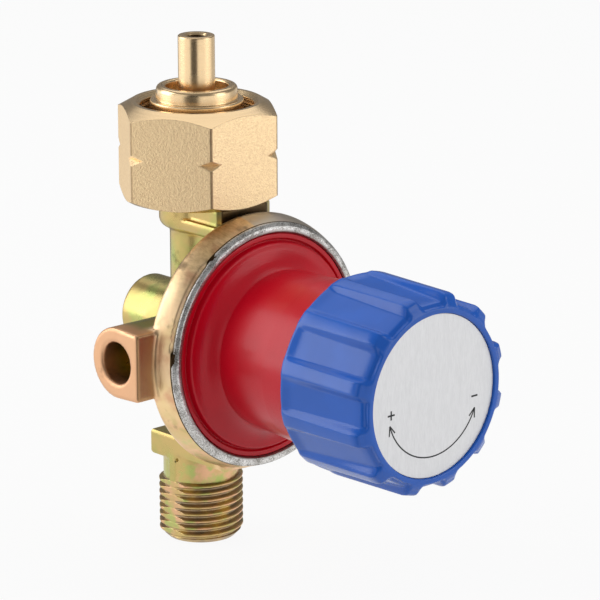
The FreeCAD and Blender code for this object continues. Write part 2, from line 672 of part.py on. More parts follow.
def inlet_nipple():
    """Screwed-in nipple: shank, stem, flange, hollow seat nose and slim spigot."""
    bottom = HEAD_TOP - NIPPLE_SHANK_LENGTH
    hollow_floor = NOSE_TOP - NOSE_HOLLOW_DEPTH
    nose_step = (NIPPLE_FLANGE_TOP, NOSE_RADIUS)
    return turned([
        (bottom, FILTER_RADIUS + SEAT_GAP),
        (bottom, NIPPLE_SHANK_RADIUS - SPIGOT_CHAMFER),
        (bottom + SPIGOT_CHAMFER, NIPPLE_SHANK_RADIUS),
        (HEAD_TOP + SEAT_GAP, NIPPLE_SHANK_RADIUS),
        (HEAD_TOP + SEAT_GAP, NIPPLE_STEM_RADIUS),
        (NIPPLE_FLANGE_BOTTOM, NIPPLE_STEM_RADIUS),
        (NIPPLE_FLANGE_BOTTOM, NIPPLE_FLANGE_RADIUS, 0.3),
        (NIPPLE_FLANGE_TOP, NIPPLE_FLANGE_RADIUS, 0.4),
        nose_step,
        (NOSE_TOP, NOSE_TOP_RADIUS, NOSE_ROUND),
        (NOSE_TOP, NOSE_HOLLOW_RADIUS, NOSE_ROUND / 2),
        (hollow_floor, NOSE_HOLLOW_RADIUS, 0.5),
        (hollow_floor, SPIGOT_RADIUS, 0.4),
        (SPIGOT_TOP, SPIGOT_RADIUS, 0.4),
        (SPIGOT_TOP, SPIGOT_BORE_RADIUS + SPIGOT_CHAMFER),
        (SPIGOT_TOP - SPIGOT_CHAMFER, SPIGOT_BORE_RADIUS),
        (bottom + FILTER_LENGTH, SPIGOT_BORE_RADIUS),
        (bottom + FILTER_LENGTH, FILTER_RADIUS + SEAT_GAP),
    ])


def inlet_filter():
    """Sintered cup pressed into the foot of the nipple."""
    bottom = HEAD_TOP - NIPPLE_SHANK_LENGTH
    roof = bottom + FILTER_LENGTH
    return turned([
        (bottom, FILTER_RADIUS - FILTER_WALL),
        (bottom, FILTER_RADIUS),
        (roof, FILTER_RADIUS),
        (roof, 0),
        (roof - FILTER_WALL, 0),
        (roof - FILTER_WALL, FILTER_RADIUS - FILTER_WALL),
    ])


def nipple_gasket():
    outer = NIPPLE_SHANK_RADIUS + NIPPLE_GASKET_WIDTH
    return ring(HEAD_TOP - NIPPLE_GASKET_THICKNESS, HEAD_TOP, NIPPLE_SHANK_RADIUS + RUN_GAP, outer)


def union_nut():
    """Hexagon nut with turned chamfers, corner notches, thread and inner shoulder."""
    corners = []
    for side in range(6):
        angle = math.radians(NUT_CORNER_ANGLE + 60 * side)
        x = NUT_CORNER_RADIUS * math.cos(angle)
        y = NUT_CORNER_RADIUS * math.sin(angle)
        corners.append(FreeCAD.Vector(x, y, NUT_BOTTOM))
    hexagon = Part.Face(Part.makePolygon(corners + corners[:1]))
    hexagon = hexagon.extrude(Z_AXIS * NUT_HEIGHT)
    outer = NUT_CORNER_RADIUS + OVERRUN
    flat_radius = NUT_ACROSS_FLATS / 2
    envelope = turned([
        (NUT_BOTTOM, 0),
        (NUT_BOTTOM, flat_radius),
        (NUT_BOTTOM + (outer - flat_radius) * NUT_CHAMFER_SLOPE, outer),
        (NUT_TOP - (outer - NUT_TOP_FACE_RADIUS) * NUT_CHAMFER_SLOPE, outer),
        (NUT_TOP, NUT_TOP_FACE_RADIUS),
        (NUT_TOP, 0),
    ])
    nut = hexagon.common(envelope)
    notch = NUT_BOTTOM + NUT_NOTCH_LEVEL
    half_notch = NUT_NOTCH_HEIGHT / 2
    widen = outer - NUT_NOTCH_RADIUS
    slope = half_notch / (NUT_CORNER_RADIUS - NUT_NOTCH_RADIUS)
    nut = nut.cut(turned([
        (notch, NUT_NOTCH_RADIUS),
        (notch + widen * slope, outer),
        (notch - widen * slope, outer),
    ]))
    major = NUT_THREAD_MINOR + NUT_THREAD_DEPTH
    thread_top = NUT_TOP - NUT_THREAD_DEPTH
    profile = [
        (NUT_BOTTOM - OVERRUN, 0),
        (NUT_BOTTOM - OVERRUN, NIPPLE_STEM_RADIUS + FREE_GAP),
        (NUT_SHOULDER, NIPPLE_STEM_RADIUS + FREE_GAP),
    ]
    first = thread_top - NUT_THREAD_TURNS * NUT_THREAD_PITCH
    profile += [(NUT_SHOULDER, major), (first, major), (first, NUT_THREAD_MINOR)]
    for turn in range(NUT_THREAD_TURNS):
        foot = first + turn * NUT_THREAD_PITCH
        profile += [
            (foot + 0.30 * NUT_THREAD_PITCH, NUT_THREAD_MINOR),
            (foot + 0.60 * NUT_THREAD_PITCH, major),
            (foot + 0.70 * NUT_THREAD_PITCH, major),
            (foot + NUT_THREAD_PITCH, NUT_THREAD_MINOR),
        ]
    profile += [
        (NUT_TOP + OVERRUN, major + OVERRUN),
        (NUT_TOP + OVERRUN, 0),
    ]
    return nut.cut(turned(profile))


def nut_slip_washer():
    inner = NIPPLE_STEM_RADIUS + FREE_GAP
    return ring(NUT_SHOULDER, NUT_SHOULDER + SLIP_WASHER_THICKNESS, inner, SLIP_WASHER_RADIUS)


def seat_insert():
    """Brass seat screwed into the hub: hexagon, shank, orifice and raised seat lip."""
    chamber_back = SEAT_INSERT_BACK + SEAT_WEB
    shank = turned_on_knob([
        (SEAT_INSERT_BACK, ORIFICE_RADIUS + SEAT_LIP_WIDTH + SEAT_LIP_HEIGHT),
        (SEAT_INSERT_BACK, SEAT_INSERT_RADIUS),
        (SEAT_HEX_BACK, SEAT_INSERT_RADIUS),
        (SEAT_HEX_BACK, SEAT_CHAMBER_RADIUS),
        (chamber_back, SEAT_CHAMBER_RADIUS),
        (chamber_back, ORIFICE_RADIUS),
        (SEAT_LIP_REACH, ORIFICE_RADIUS),
        (SEAT_LIP_REACH, ORIFICE_RADIUS + SEAT_LIP_WIDTH / 2),
    ])
    hexagon = hexagon_on_knob(SEAT_HEX, SEAT_HEX_BACK, SEAT_HEX_FRONT)
    bore = rod_on_knob(SEAT_HEX_BACK, SEAT_HEX_FRONT, SEAT_CHAMBER_RADIUS)
    return shank.fuse(hexagon.cut(bore)).removeSplitter()


def seat_gasket():
    inner = SEAT_INSERT_RADIUS + SEAT_GAP
    outer = SEAT_HEX / 2
    return ring_on_knob(SEAT_COUNTERBORE_REACH, SEAT_HEX_BACK, inner, outer)


def poppet():
    """Hexagonal valve plug, guided at its corners, with a cup for the pad."""
    corner_radius = VALVE_BORE_RADIUS - RUN_GAP
    across = 2 * corner_radius * math.cos(math.radians(30))
    body = hexagon_on_knob(across, POPPET_BACK, POPPET_FRONT)
    cup = rod_on_knob(PAD_BACK, POPPET_FRONT, PAD_RADIUS + SEAT_GAP)
    spigot = turned_on_knob([
        (POPPET_BACK - POPPET_SPIGOT_LENGTH, 0),
        (POPPET_BACK - POPPET_SPIGOT_LENGTH, POPPET_SPIGOT_RADIUS, 0.4),
        (POPPET_BACK, POPPET_SPIGOT_RADIUS),
        (POPPET_BACK, 0),
    ])
    socket = rod_on_knob(PAD_BACK - OVERRUN, POPPET_FRONT, PUSH_PIN_RADIUS + SEAT_GAP)
    return body.cut(cup).fuse(spigot).cut(socket)


def poppet_pad():
    return ring_on_knob(PAD_BACK, SEAT_LIP_REACH, PUSH_PIN_RADIUS + SEAT_GAP, PAD_RADIUS)


def push_pin():
    return rod_on_knob(PAD_BACK - OVERRUN, STUD_HEAD_BACK, PUSH_PIN_RADIUS)


def diaphragm():
    """Rubber disc with one rolled convolution between its plates and its clamped rim."""
    middle = (ROLL_INNER_RADIUS + ROLL_OUTER_RADIUS) / 2
    inner = STUD_RADIUS + SEAT_GAP
    shrink = DIAPHRAGM_THICKNESS / 2
    spots = {
        "a": (DIAPHRAGM_BACK, inner),
        "b": (DIAPHRAGM_BACK, ROLL_INNER_RADIUS + shrink),
        "c": (DIAPHRAGM_BACK + ROLL_HEIGHT, middle),
        "d": (DIAPHRAGM_BACK, ROLL_OUTER_RADIUS - shrink),
        "e": (DIAPHRAGM_BACK, DIAPHRAGM_RADIUS),
        "f": (DIAPHRAGM_FRONT, DIAPHRAGM_RADIUS),
        "g": (DIAPHRAGM_FRONT, ROLL_OUTER_RADIUS),
        "h": (DIAPHRAGM_FRONT + ROLL_HEIGHT, middle),
        "i": (DIAPHRAGM_FRONT, ROLL_INNER_RADIUS),
        "j": (DIAPHRAGM_FRONT, inner),
    }
    at = {name: on_knob_axis(*spot) for name, spot in spots.items()}

    def line(start, finish):
        return Part.LineSegment(at[start], at[finish]).toShape()

    def roll(start, top, finish):
        return Part.Arc(at[start], at[top], at[finish]).toShape()

    edges = [line("a", "b"), roll("b", "c", "d"), line("d", "e"), line("e", "f"),
             line("f", "g"), roll("g", "h", "i"), line("i", "j"), line("j", "a")]
    return Part.Face(Part.Wire(edges)).revolve(KNOB_CENTRE, KNOB_DIRECTION, 360)


def lower_plate():
    inner = STUD_RADIUS + SEAT_GAP
    return turned_on_knob([
        (LOWER_PLATE_BACK, inner),
        (LOWER_PLATE_BACK, LOWER_PLATE_RADIUS, 0.4),
        (DIAPHRAGM_BACK, LOWER_PLATE_RADIUS),
        (DIAPHRAGM_BACK, inner),
    ])


def upper_plate():
    """Dished plate that centres the main spring inside its raised rim."""
    inner = STUD_RADIUS + SEAT_GAP
    rim_inner = MAIN_COIL_RADIUS + MAIN_WIRE / 2 + FREE_GAP
    return turned_on_knob([
        (DIAPHRAGM_FRONT, inner),
        (DIAPHRAGM_FRONT, UPPER_PLATE_RADIUS, 0.5),
        (UPPER_PLATE_FRONT + UPPER_PLATE_LIP, UPPER_PLATE_RADIUS, 0.5),
        (UPPER_PLATE_FRONT + UPPER_PLATE_LIP, rim_inner),
        (UPPER_PLATE_FRONT, rim_inner),
        (UPPER_PLATE_FRONT, inner),
    ])


def diaphragm_stud():
    return turned_on_knob([
        (STUD_HEAD_BACK, 0),
        (STUD_HEAD_BACK, STUD_HEAD_RADIUS, 0.3),
        (LOWER_PLATE_BACK, STUD_HEAD_RADIUS),
        (LOWER_PLATE_BACK, STUD_RADIUS),
        (STACK_NUT_FRONT + OVERRUN, STUD_RADIUS, 0.4),
        (STACK_NUT_FRONT + OVERRUN, 0),
    ])


def stack_washer():
    inner = STUD_RADIUS + SEAT_GAP
    return ring_on_knob(UPPER_PLATE_FRONT, STACK_NUT_BACK, inner, STACK_WASHER_RADIUS)


def stack_nut():
    body = hexagon_on_knob(STACK_NUT_ACROSS_FLATS, STACK_NUT_BACK, STACK_NUT_FRONT)
    return body.cut(rod_on_knob(STACK_NUT_BACK, STACK_NUT_FRONT, STUD_RADIUS + SEAT_GAP))


def screw_bush():
    """Threaded bush held against the bonnet's end wall by the spring's push."""
    return turned_on_knob([
        (BUSH_BACK, SCREW_RADIUS + RUN_GAP),
        (BUSH_BACK, BUSH_FLANGE_RADIUS, 0.4),
        (BONNET_END_INNER, BUSH_FLANGE_RADIUS),
        (BONNET_END_INNER, BUSH_RADIUS),
        (BUSH_FRONT, BUSH_RADIUS, 0.5),
        (BUSH_FRONT, SCREW_RADIUS + RUN_GAP),
    ])


def spring_button():
    """Spring seat that slides in the bonnet, with a pilot and a socket for the ball."""
    pilot = MAIN_COIL_RADIUS - MAIN_WIRE / 2 - FREE_GAP
    body = turned_on_knob([
        (BUTTON_BACK - BUTTON_PILOT, 0),
        (BUTTON_BACK - BUTTON_PILOT, pilot, 0.6),
        (BUTTON_BACK, pilot),
        (BUTTON_BACK, BUTTON_RADIUS, 0.3),
        (BUTTON_FRONT, BUTTON_RADIUS, 0.6),
        (BUTTON_FRONT, 0),
    ])
    socket = Part.makeSphere(BALL_RADIUS + SEAT_GAP, on_knob_axis(BALL_REACH, 0))
    return body.cut(socket)


def thrust_ball():
    return Part.makeSphere(BALL_RADIUS, on_knob_axis(BALL_REACH, 0))


def drive_flat(shape, radius, flat, back, front):
    """Cuts the D-shaped drive's flat from a round end."""
    corner = FreeCAD.Vector(flat, -front, KNOB_AXIS_HEIGHT - radius - OVERRUN)
    box = Part.makeBox(radius + OVERRUN, front - back, 2 * (radius + OVERRUN), corner)
    return shape.cut(box)


def adjusting_screw():
    """Screw with a stop collar inside the bonnet and a D-shaped drive for the knob."""
    body = turned_on_knob([
        (SCREW_BACK, 0),
        (SCREW_BACK, SCREW_RADIUS - 0.6),
        (SCREW_BACK + 0.6, SCREW_RADIUS),
        (COLLAR_BACK, SCREW_RADIUS),
        (COLLAR_BACK, SCREW_COLLAR_RADIUS, 0.3),
        (COLLAR_FRONT, SCREW_COLLAR_RADIUS, 0.3),
        (COLLAR_FRONT, SCREW_RADIUS),
        (KNOB_HUB_BACK, SCREW_RADIUS),
        (KNOB_HUB_BACK, 0),
    ])
    drive = rod_on_knob(KNOB_HUB_BACK, KNOB_POCKET_REACH, SCREW_DRIVE_RADIUS)
    drive = drive_flat(drive, SCREW_DRIVE_RADIUS, SCREW_DRIVE_FLAT,
                       KNOB_HUB_BACK, KNOB_POCKET_REACH)
    socket = Part.makeSphere(BALL_RADIUS + SEAT_GAP, on_knob_axis(BALL_REACH, 0))
    hole_back = KNOB_POCKET_REACH - KNOB_SCREW_LENGTH - FREE_GAP
    hole = rod_on_knob(hole_back, KNOB_POCKET_REACH, KNOB_SCREW_RADIUS + SEAT_GAP)
    return body.fuse(drive).cut(socket).cut(hole)


def main_spring():
    """Heavy coil between the upper diaphragm plate and the spring button."""
    return spring(UPPER_PLATE_FRONT, BUTTON_BACK, MAIN_WIRE, MAIN_COIL_RADIUS, MAIN_COIL_TURNS)


def poppet_spring():
    return spring(-VALVE_BORE_BACK, POPPET_BACK, POPPET_WIRE, POPPET_COIL_RADIUS,
                  POPPET_COIL_TURNS)


def rib_outline(reach, tip_radius, root_radius):
    """Ribbed outline of the knob: ribs with rounded tops on a round root."""
    def spot(radius, degrees):
        angle = math.radians(degrees)
        x = radius * math.cos(angle)
        z = radius * math.sin(angle)
        return FreeCAD.Vector(x, -reach, KNOB_AXIS_HEIGHT + z)

    pitch = 360 / KNOB_RIBS
    half_rib = KNOB_RIB_ANGLE / 2
    edges = []
    for rib in range(KNOB_RIBS):
        centre = KNOB_RIB_PHASE + rib * pitch
        rise = spot(root_radius, centre - half_rib)
        fall = spot(root_radius, centre + half_rib)
        following = spot(root_radius, centre + pitch - half_rib)
        edges.append(Part.Arc(rise, spot(tip_radius, centre), fall).toShape())
        edges.append(Part.Arc(fall, spot(root_radius, centre + pitch / 2), following).toShape())
    return Part.Wire(edges)


def knob():
    """Ribbed, drafted grip with a hollow skirt, a hub and a recess for the label."""
    grip = Part.makeLoft([
        rib_outline(KNOB_REAR_REACH, KNOB_REAR_TIP_RADIUS, KNOB_REAR_ROOT_RADIUS),
        rib_outline(KNOB_RIB_FRONT_REACH, KNOB_FRONT_TIP_RADIUS, KNOB_FRONT_ROOT_RADIUS),
    ], True, True)
    envelope = turned_on_knob([
        (KNOB_REAR_REACH, 0),
        (KNOB_REAR_REACH, KNOB_REAR_TIP_RADIUS - KNOB_REAR_CHAMFER),
        (KNOB_REAR_REACH + 2 * KNOB_REAR_CHAMFER, KNOB_REAR_TIP_RADIUS + RUN_GAP),
        (KNOB_RIB_FRONT_REACH - 2 * KNOB_RIB_END_CHAMFER, KNOB_REAR_TIP_RADIUS + RUN_GAP),
        (KNOB_RIB_FRONT_REACH - 2 * KNOB_RIB_END_CHAMFER, KNOB_FRONT_TIP_RADIUS + RUN_GAP),
        (KNOB_RIB_FRONT_REACH, KNOB_FRONT_TIP_RADIUS - KNOB_RIB_END_CHAMFER),
        (KNOB_RIB_FRONT_REACH, 0),
    ])
    face_rim = turned_on_knob([
        (KNOB_RIB_FRONT_REACH, 0),
        (KNOB_RIB_FRONT_REACH, KNOB_FRONT_ROOT_RADIUS - KNOB_FACE_INSET),
        (KNOB_FRONT_REACH, KNOB_FRONT_ROOT_RADIUS - KNOB_FACE_INSET - KNOB_FACE_TAPER),
        (KNOB_FRONT_REACH, 0),
    ])
    body = grip.common(envelope).fuse(face_rim)
    hub_radius = KNOB_HUB_RADIUS
    hollow = turned_on_knob([
        (KNOB_REAR_REACH - OVERRUN, 0),
        (KNOB_REAR_REACH - OVERRUN, KNOB_SKIRT_RADIUS),
        (KNOB_REAR_REACH, KNOB_SKIRT_RADIUS),
        (KNOB_WEB_REACH, KNOB_SKIRT_RADIUS - KNOB_SKIRT_DRAFT, 1.0),
        (KNOB_WEB_REACH, hub_radius, 1.0),
        (KNOB_HUB_BACK, hub_radius),
        (KNOB_HUB_BACK, 0),
    ])
    recess = rod_on_knob(LABEL_BACK, KNOB_FRONT_REACH + OVERRUN, LABEL_RADIUS + 2 * RUN_GAP)
    pocket = rod_on_knob(KNOB_POCKET_REACH, KNOB_FRONT_REACH, KNOB_POCKET_RADIUS)
    drive = rod_on_knob(KNOB_HUB_BACK, KNOB_POCKET_REACH, SCREW_DRIVE_RADIUS + SEAT_GAP)
    drive = drive_flat(drive, SCREW_DRIVE_RADIUS, SCREW_DRIVE_FLAT + SEAT_GAP,
                       KNOB_HUB_BACK, KNOB_POCKET_REACH)
    for cut in (hollow, recess, pocket, drive):
        body = body.cut(cut)
    return body


def knob_washer():
    front = KNOB_POCKET_REACH + KNOB_WASHER_THICKNESS
    return ring_on_knob(KNOB_POCKET_REACH, front, KNOB_SCREW_RADIUS + SEAT_GAP, KNOB_WASHER_RADIUS)


def knob_screw():
    """Slotted screw that holds the knob on the adjusting screw, hidden by the label."""
    seat = KNOB_POCKET_REACH + KNOB_WASHER_THICKNESS
    front = seat + KNOB_SCREW_HEAD_THICKNESS
    body = turned_on_knob([
        (KNOB_POCKET_REACH - KNOB_SCREW_LENGTH, 0),
        (KNOB_POCKET_REACH - KNOB_SCREW_LENGTH, KNOB_SCREW_RADIUS, 0.4),
        (seat, KNOB_SCREW_RADIUS),
        (seat, KNOB_SCREW_HEAD_RADIUS),
        (front, KNOB_SCREW_HEAD_RADIUS, 0.4),
        (front, 0),
    ])
    depth = KNOB_SCREW_HEAD_THICKNESS / 2
    length = 2 * (KNOB_SCREW_HEAD_RADIUS + OVERRUN)
    corner = FreeCAD.Vector(-length / 2, -front - OVERRUN, KNOB_AXIS_HEIGHT - KNOB_SCREW_SLOT / 2)
    return body.cut(Part.makeBox(length, depth + OVERRUN, KNOB_SCREW_SLOT, corner))


def label_disc():
    return rod_on_knob(LABEL_BACK, LABEL_FRONT, LABEL_RADIUS)


PIECES = {
    "body_casting": body_casting,
    "bonnet": bonnet,
    "inlet_nipple": inlet_nipple,
    "inlet_filter": inlet_filter,
    "nipple_gasket": nipple_gasket,
    "union_nut": union_nut,
    "nut_slip_washer": nut_slip_washer,
    "seat_insert": seat_insert,
    "seat_gasket": seat_gasket,
    "poppet": poppet,
    "poppet_pad": poppet_pad,
    "push_pin": push_pin,
    "poppet_spring": poppet_spring,
    "diaphragm": diaphragm,
    "diaphragm_lower_plate": lower_plate,
    "diaphragm_upper_plate": upper_plate,
    "diaphragm_stud": diaphragm_stud,
    "diaphragm_washer": stack_washer,
    "diaphragm_nut": stack_nut,
    "main_spring": main_spring,
    "spring_button": spring_button,
    "thrust_ball": thrust_ball,
    "screw_bush": screw_bush,
    "adjusting_screw": adjusting_screw,
    "knob": knob,
    "knob_washer": knob_washer,
    "knob_screw": knob_screw,
    "label_disc": label_disc,
}

os.makedirs("parts", exist_ok=True)
for name, make in PIECES.items():
    shape = make()
    solids = len(shape.Solids)
    print(name, "solids", solids, "valid", shape.isValid(), "volume", round(shape.Volume, 2))
    shape.exportStep("parts/" + name + ".step")
print("union nut lift", round(NUT_LIFT, 3), "adjusting travel", ADJUST_TRAVEL)
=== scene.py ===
"""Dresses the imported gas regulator: cast body, rolled lip, bonnet, ribbed knob, union nut, inlet
nipple, springs and studio. Shapes are worked out in millimetres, patterns of finishes in metres."""
import math

import bmesh
import bpy
import numpy as np
from mathutils import Matrix, Vector


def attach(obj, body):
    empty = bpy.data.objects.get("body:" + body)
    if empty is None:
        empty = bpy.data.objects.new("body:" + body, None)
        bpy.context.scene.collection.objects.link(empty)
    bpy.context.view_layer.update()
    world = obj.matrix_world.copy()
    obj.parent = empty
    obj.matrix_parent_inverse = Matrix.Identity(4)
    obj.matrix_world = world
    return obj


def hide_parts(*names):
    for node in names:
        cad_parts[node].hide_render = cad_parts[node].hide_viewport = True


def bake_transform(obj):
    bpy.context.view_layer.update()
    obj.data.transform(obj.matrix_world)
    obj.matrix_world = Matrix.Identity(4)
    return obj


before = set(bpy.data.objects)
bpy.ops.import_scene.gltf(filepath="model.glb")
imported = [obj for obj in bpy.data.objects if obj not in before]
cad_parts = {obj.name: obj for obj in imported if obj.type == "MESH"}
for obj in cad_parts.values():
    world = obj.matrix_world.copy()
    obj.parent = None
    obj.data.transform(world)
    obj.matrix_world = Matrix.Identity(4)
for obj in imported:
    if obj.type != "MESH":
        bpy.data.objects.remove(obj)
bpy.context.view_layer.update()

bl_info = {
    "name": "Gas regulator dressing",
    "version": (1, 0, 0),
    "blender": (4, 5, 0),
    "location": "View3D > Sidebar > Regulator",
    "description": "Makes the shown surfaces and finishes of a gas regulator on its packed frame",
    "category": "Object",
}

MM = 0.001
TAU = 2 * math.pi
WHITE = (1.0, 1.0, 1.0, 1.0)

# Sizes that several forms share, in millimetres. The knob's axis lies at a height and points
# along -Y; the reach of a form is its distance that way from the column's axis.
AXIS_HEIGHT = 54.2
OUTLET_BORE, OUTLET_MOUTH = 6.75, 7.1
THREAD_PITCH, THREAD_ROOT, THREAD_DEPTH, THREAD_TOP = 1.814, 9.3975, 1.08, 15.6
PARTING, SEAM_HALF = 9.5, 1.15
NECK_RADIUS, NECK_BASE, NECK_TOP = 9.35, 15.0, 21.3
HEAD_RADIUS, HEAD_BASE, HEAD_TOP, PLATE_FRONT = 9.6, 79.6, 87.0, 16.6
PORT_REACH, PORT_RADIUS, PORT_HALF, PORT_FRONT, PORT_END, PORT_BORE = 12.3, 8.7, 8.3, 8.0, 37.0, 5.1
RIM_RADIUS, LIP_SEAT = 31.8, 30.15
GRIP_REAR = 57.0
INK_LOW, INK_HIGH = 82.69, 82.73
NUT_LOW, NUT_HIGH = 87.0, 110.9
NUT_FLAT, NUT_FACE = 18.0, 16.1
NUT_BORE, NUT_CREST, NUT_ROOT, NUT_THREAD_LOW, NUT_PITCH = 8.3, 13.9, 14.9, 95.9, 2.0
# Turn of the nut's first flat in degrees, and the slope of its turned cones
NUT_TURN = -1.4
CONE = math.tan(math.radians(30))
# Least rounding of an outline's corner, in millimetres
LEAST_ROUND = 0.03
# Points nearer than this are joined, and edges shorter than this are taken out, in metres
WELD, SLIVER = 1e-7, 1e-8


# ---- outlines and grids ----

def on_knob(along, side, up):
    """Point at a distance along -Y from the column, side along X and up from the knob's axis."""
    along, side, up = np.broadcast_arrays(along, side, up)
    return np.stack([side, -along, AXIS_HEIGHT + up], -1)


def on_column(height, side, back):
    """Point at a height on the column, side along X and back along Y."""
    height, side, back = np.broadcast_arrays(height, side, back)
    return np.stack([side, back, height], -1)


def rounded(corners, steps, support):
    """Closed outline through (along, across, radius) corners. Each corner becomes an arc of its
    radius, tangent to both sides: centre + radius (cos a, sin a), with a run between the two
    tangent points. A support point stands on each side of an arc, so that flats stay flat under
    smooth shading."""
    data = np.array([(c + (LEAST_ROUND,))[:3] for c in corners], float)
    spot, radius = data[:, :2], np.maximum(data[:, 2], LEAST_ROUND)[:, None]
    arm_in = np.roll(spot, 1, 0) - spot
    arm_out = np.roll(spot, -1, 0) - spot
    length_in = np.linalg.norm(arm_in, axis=1, keepdims=True)
    length_out = np.linalg.norm(arm_out, axis=1, keepdims=True)
    arm_in, arm_out = arm_in / length_in, arm_out / length_out
    half = np.arccos(np.clip((arm_in * arm_out).sum(1), -1, 1))[:, None] / 2
    radius = np.minimum(radius, 0.48 * np.minimum(length_in, length_out) * np.tan(half))
    back = radius / np.tan(half)
    middle = arm_in + arm_out
    middle /= np.maximum(np.linalg.norm(middle, axis=1, keepdims=True), 1e-9)
    centre = spot + middle * radius / np.sin(half)
    first, last = spot + arm_in * back - centre, spot + arm_out * back - centre
    sweep = np.arccos(np.clip((first * last).sum(1) / radius[:, 0] ** 2, -1, 1))[:, None, None]
    t = np.linspace(0, 1, steps)[None, :, None]
    arc = np.sin((1 - t) * sweep) * first[:, None] + np.sin(t * sweep) * last[:, None]
    arc = arc / np.sin(sweep) + centre[:, None]
    after = np.minimum(support, 0.25 * (length_out - back))
    before = np.minimum(support, 0.25 * (length_in - back))
    start = (spot + arm_in * (back + before))[:, None]
    finish = (spot + arm_out * (back + after))[:, None]
    return np.concatenate([start, arc, finish], 1).reshape(-1, 2)


def lathe(profile, place, columns):
    """Surface of revolution, P(s, t) = place(along(s), across(s) cos t, across(s) sin t)."""
    t = np.arange(columns) * TAU / columns
    along, across = profile[:, :1], profile[:, 1:2]
    return place(along, across * np.cos(t), across * np.sin(t))


def ring_faces(rows, columns, closed=True):
    """Quads of a grid whose columns close on themselves, and whose rows do too when closed."""
    i = np.arange(rows if closed else rows - 1)[:, None]
    j = np.arange(columns)[None, :]
    below, right = (i + 1) % rows * columns, (j + 1) % columns
    quads = (i * columns + j, below + j, below + right, i * columns + right)
    return np.stack(quads, -1).reshape(-1, 4)


def piece(name, points, faces, body, nodes, finish, crease=38.0, slot=None):
    """Mesh object from an array of points in millimetres and an array of quads, turned outwards
    by the sign of its volume, with edges sharper than crease degrees kept sharp."""
    points = points.reshape(-1, 3)
    a, b, c, d = (points[faces[:, k]] for k in range(4))
    volume = (np.cross(b, c) * a).sum() + (np.cross(c, d) * a).sum()
    if volume < 0:
        faces = faces[:, ::-1]
    mesh = bpy.data.meshes.new(name)
    mesh.vertices.add(len(points))
    mesh.vertices.foreach_set("co", (points * MM).astype(np.float32).ravel())
    mesh.loops.add(faces.size)
    mesh.loops.foreach_set("vertex_index", np.ascontiguousarray(faces, np.int32).ravel())
    mesh.polygons.add(len(faces))
    mesh.polygons.foreach_set("loop_start", np.arange(0, faces.size, 4, dtype=np.int32))
    mesh.update(calc_edges=True)
    mesh.validate()
    shell = bmesh.new()
    shell.from_mesh(mesh)
    bmesh.ops.remove_doubles(shell, verts=shell.verts, dist=WELD)
    bmesh.ops.dissolve_degenerate(shell, edges=shell.edges, dist=SLIVER)
    shell.to_mesh(mesh)
    shell.free()
    mesh.shade_smooth()
    mesh.set_sharp_from_angle(angle=math.radians(crease))
    mesh.materials.append(finish)
    thing = bpy.data.objects.new(name, mesh)
    bpy.context.scene.collection.objects.link(thing)
    if body:
        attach(thing, body)
    if nodes:
        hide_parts(*nodes)
    return thing


# ---- shader building ----

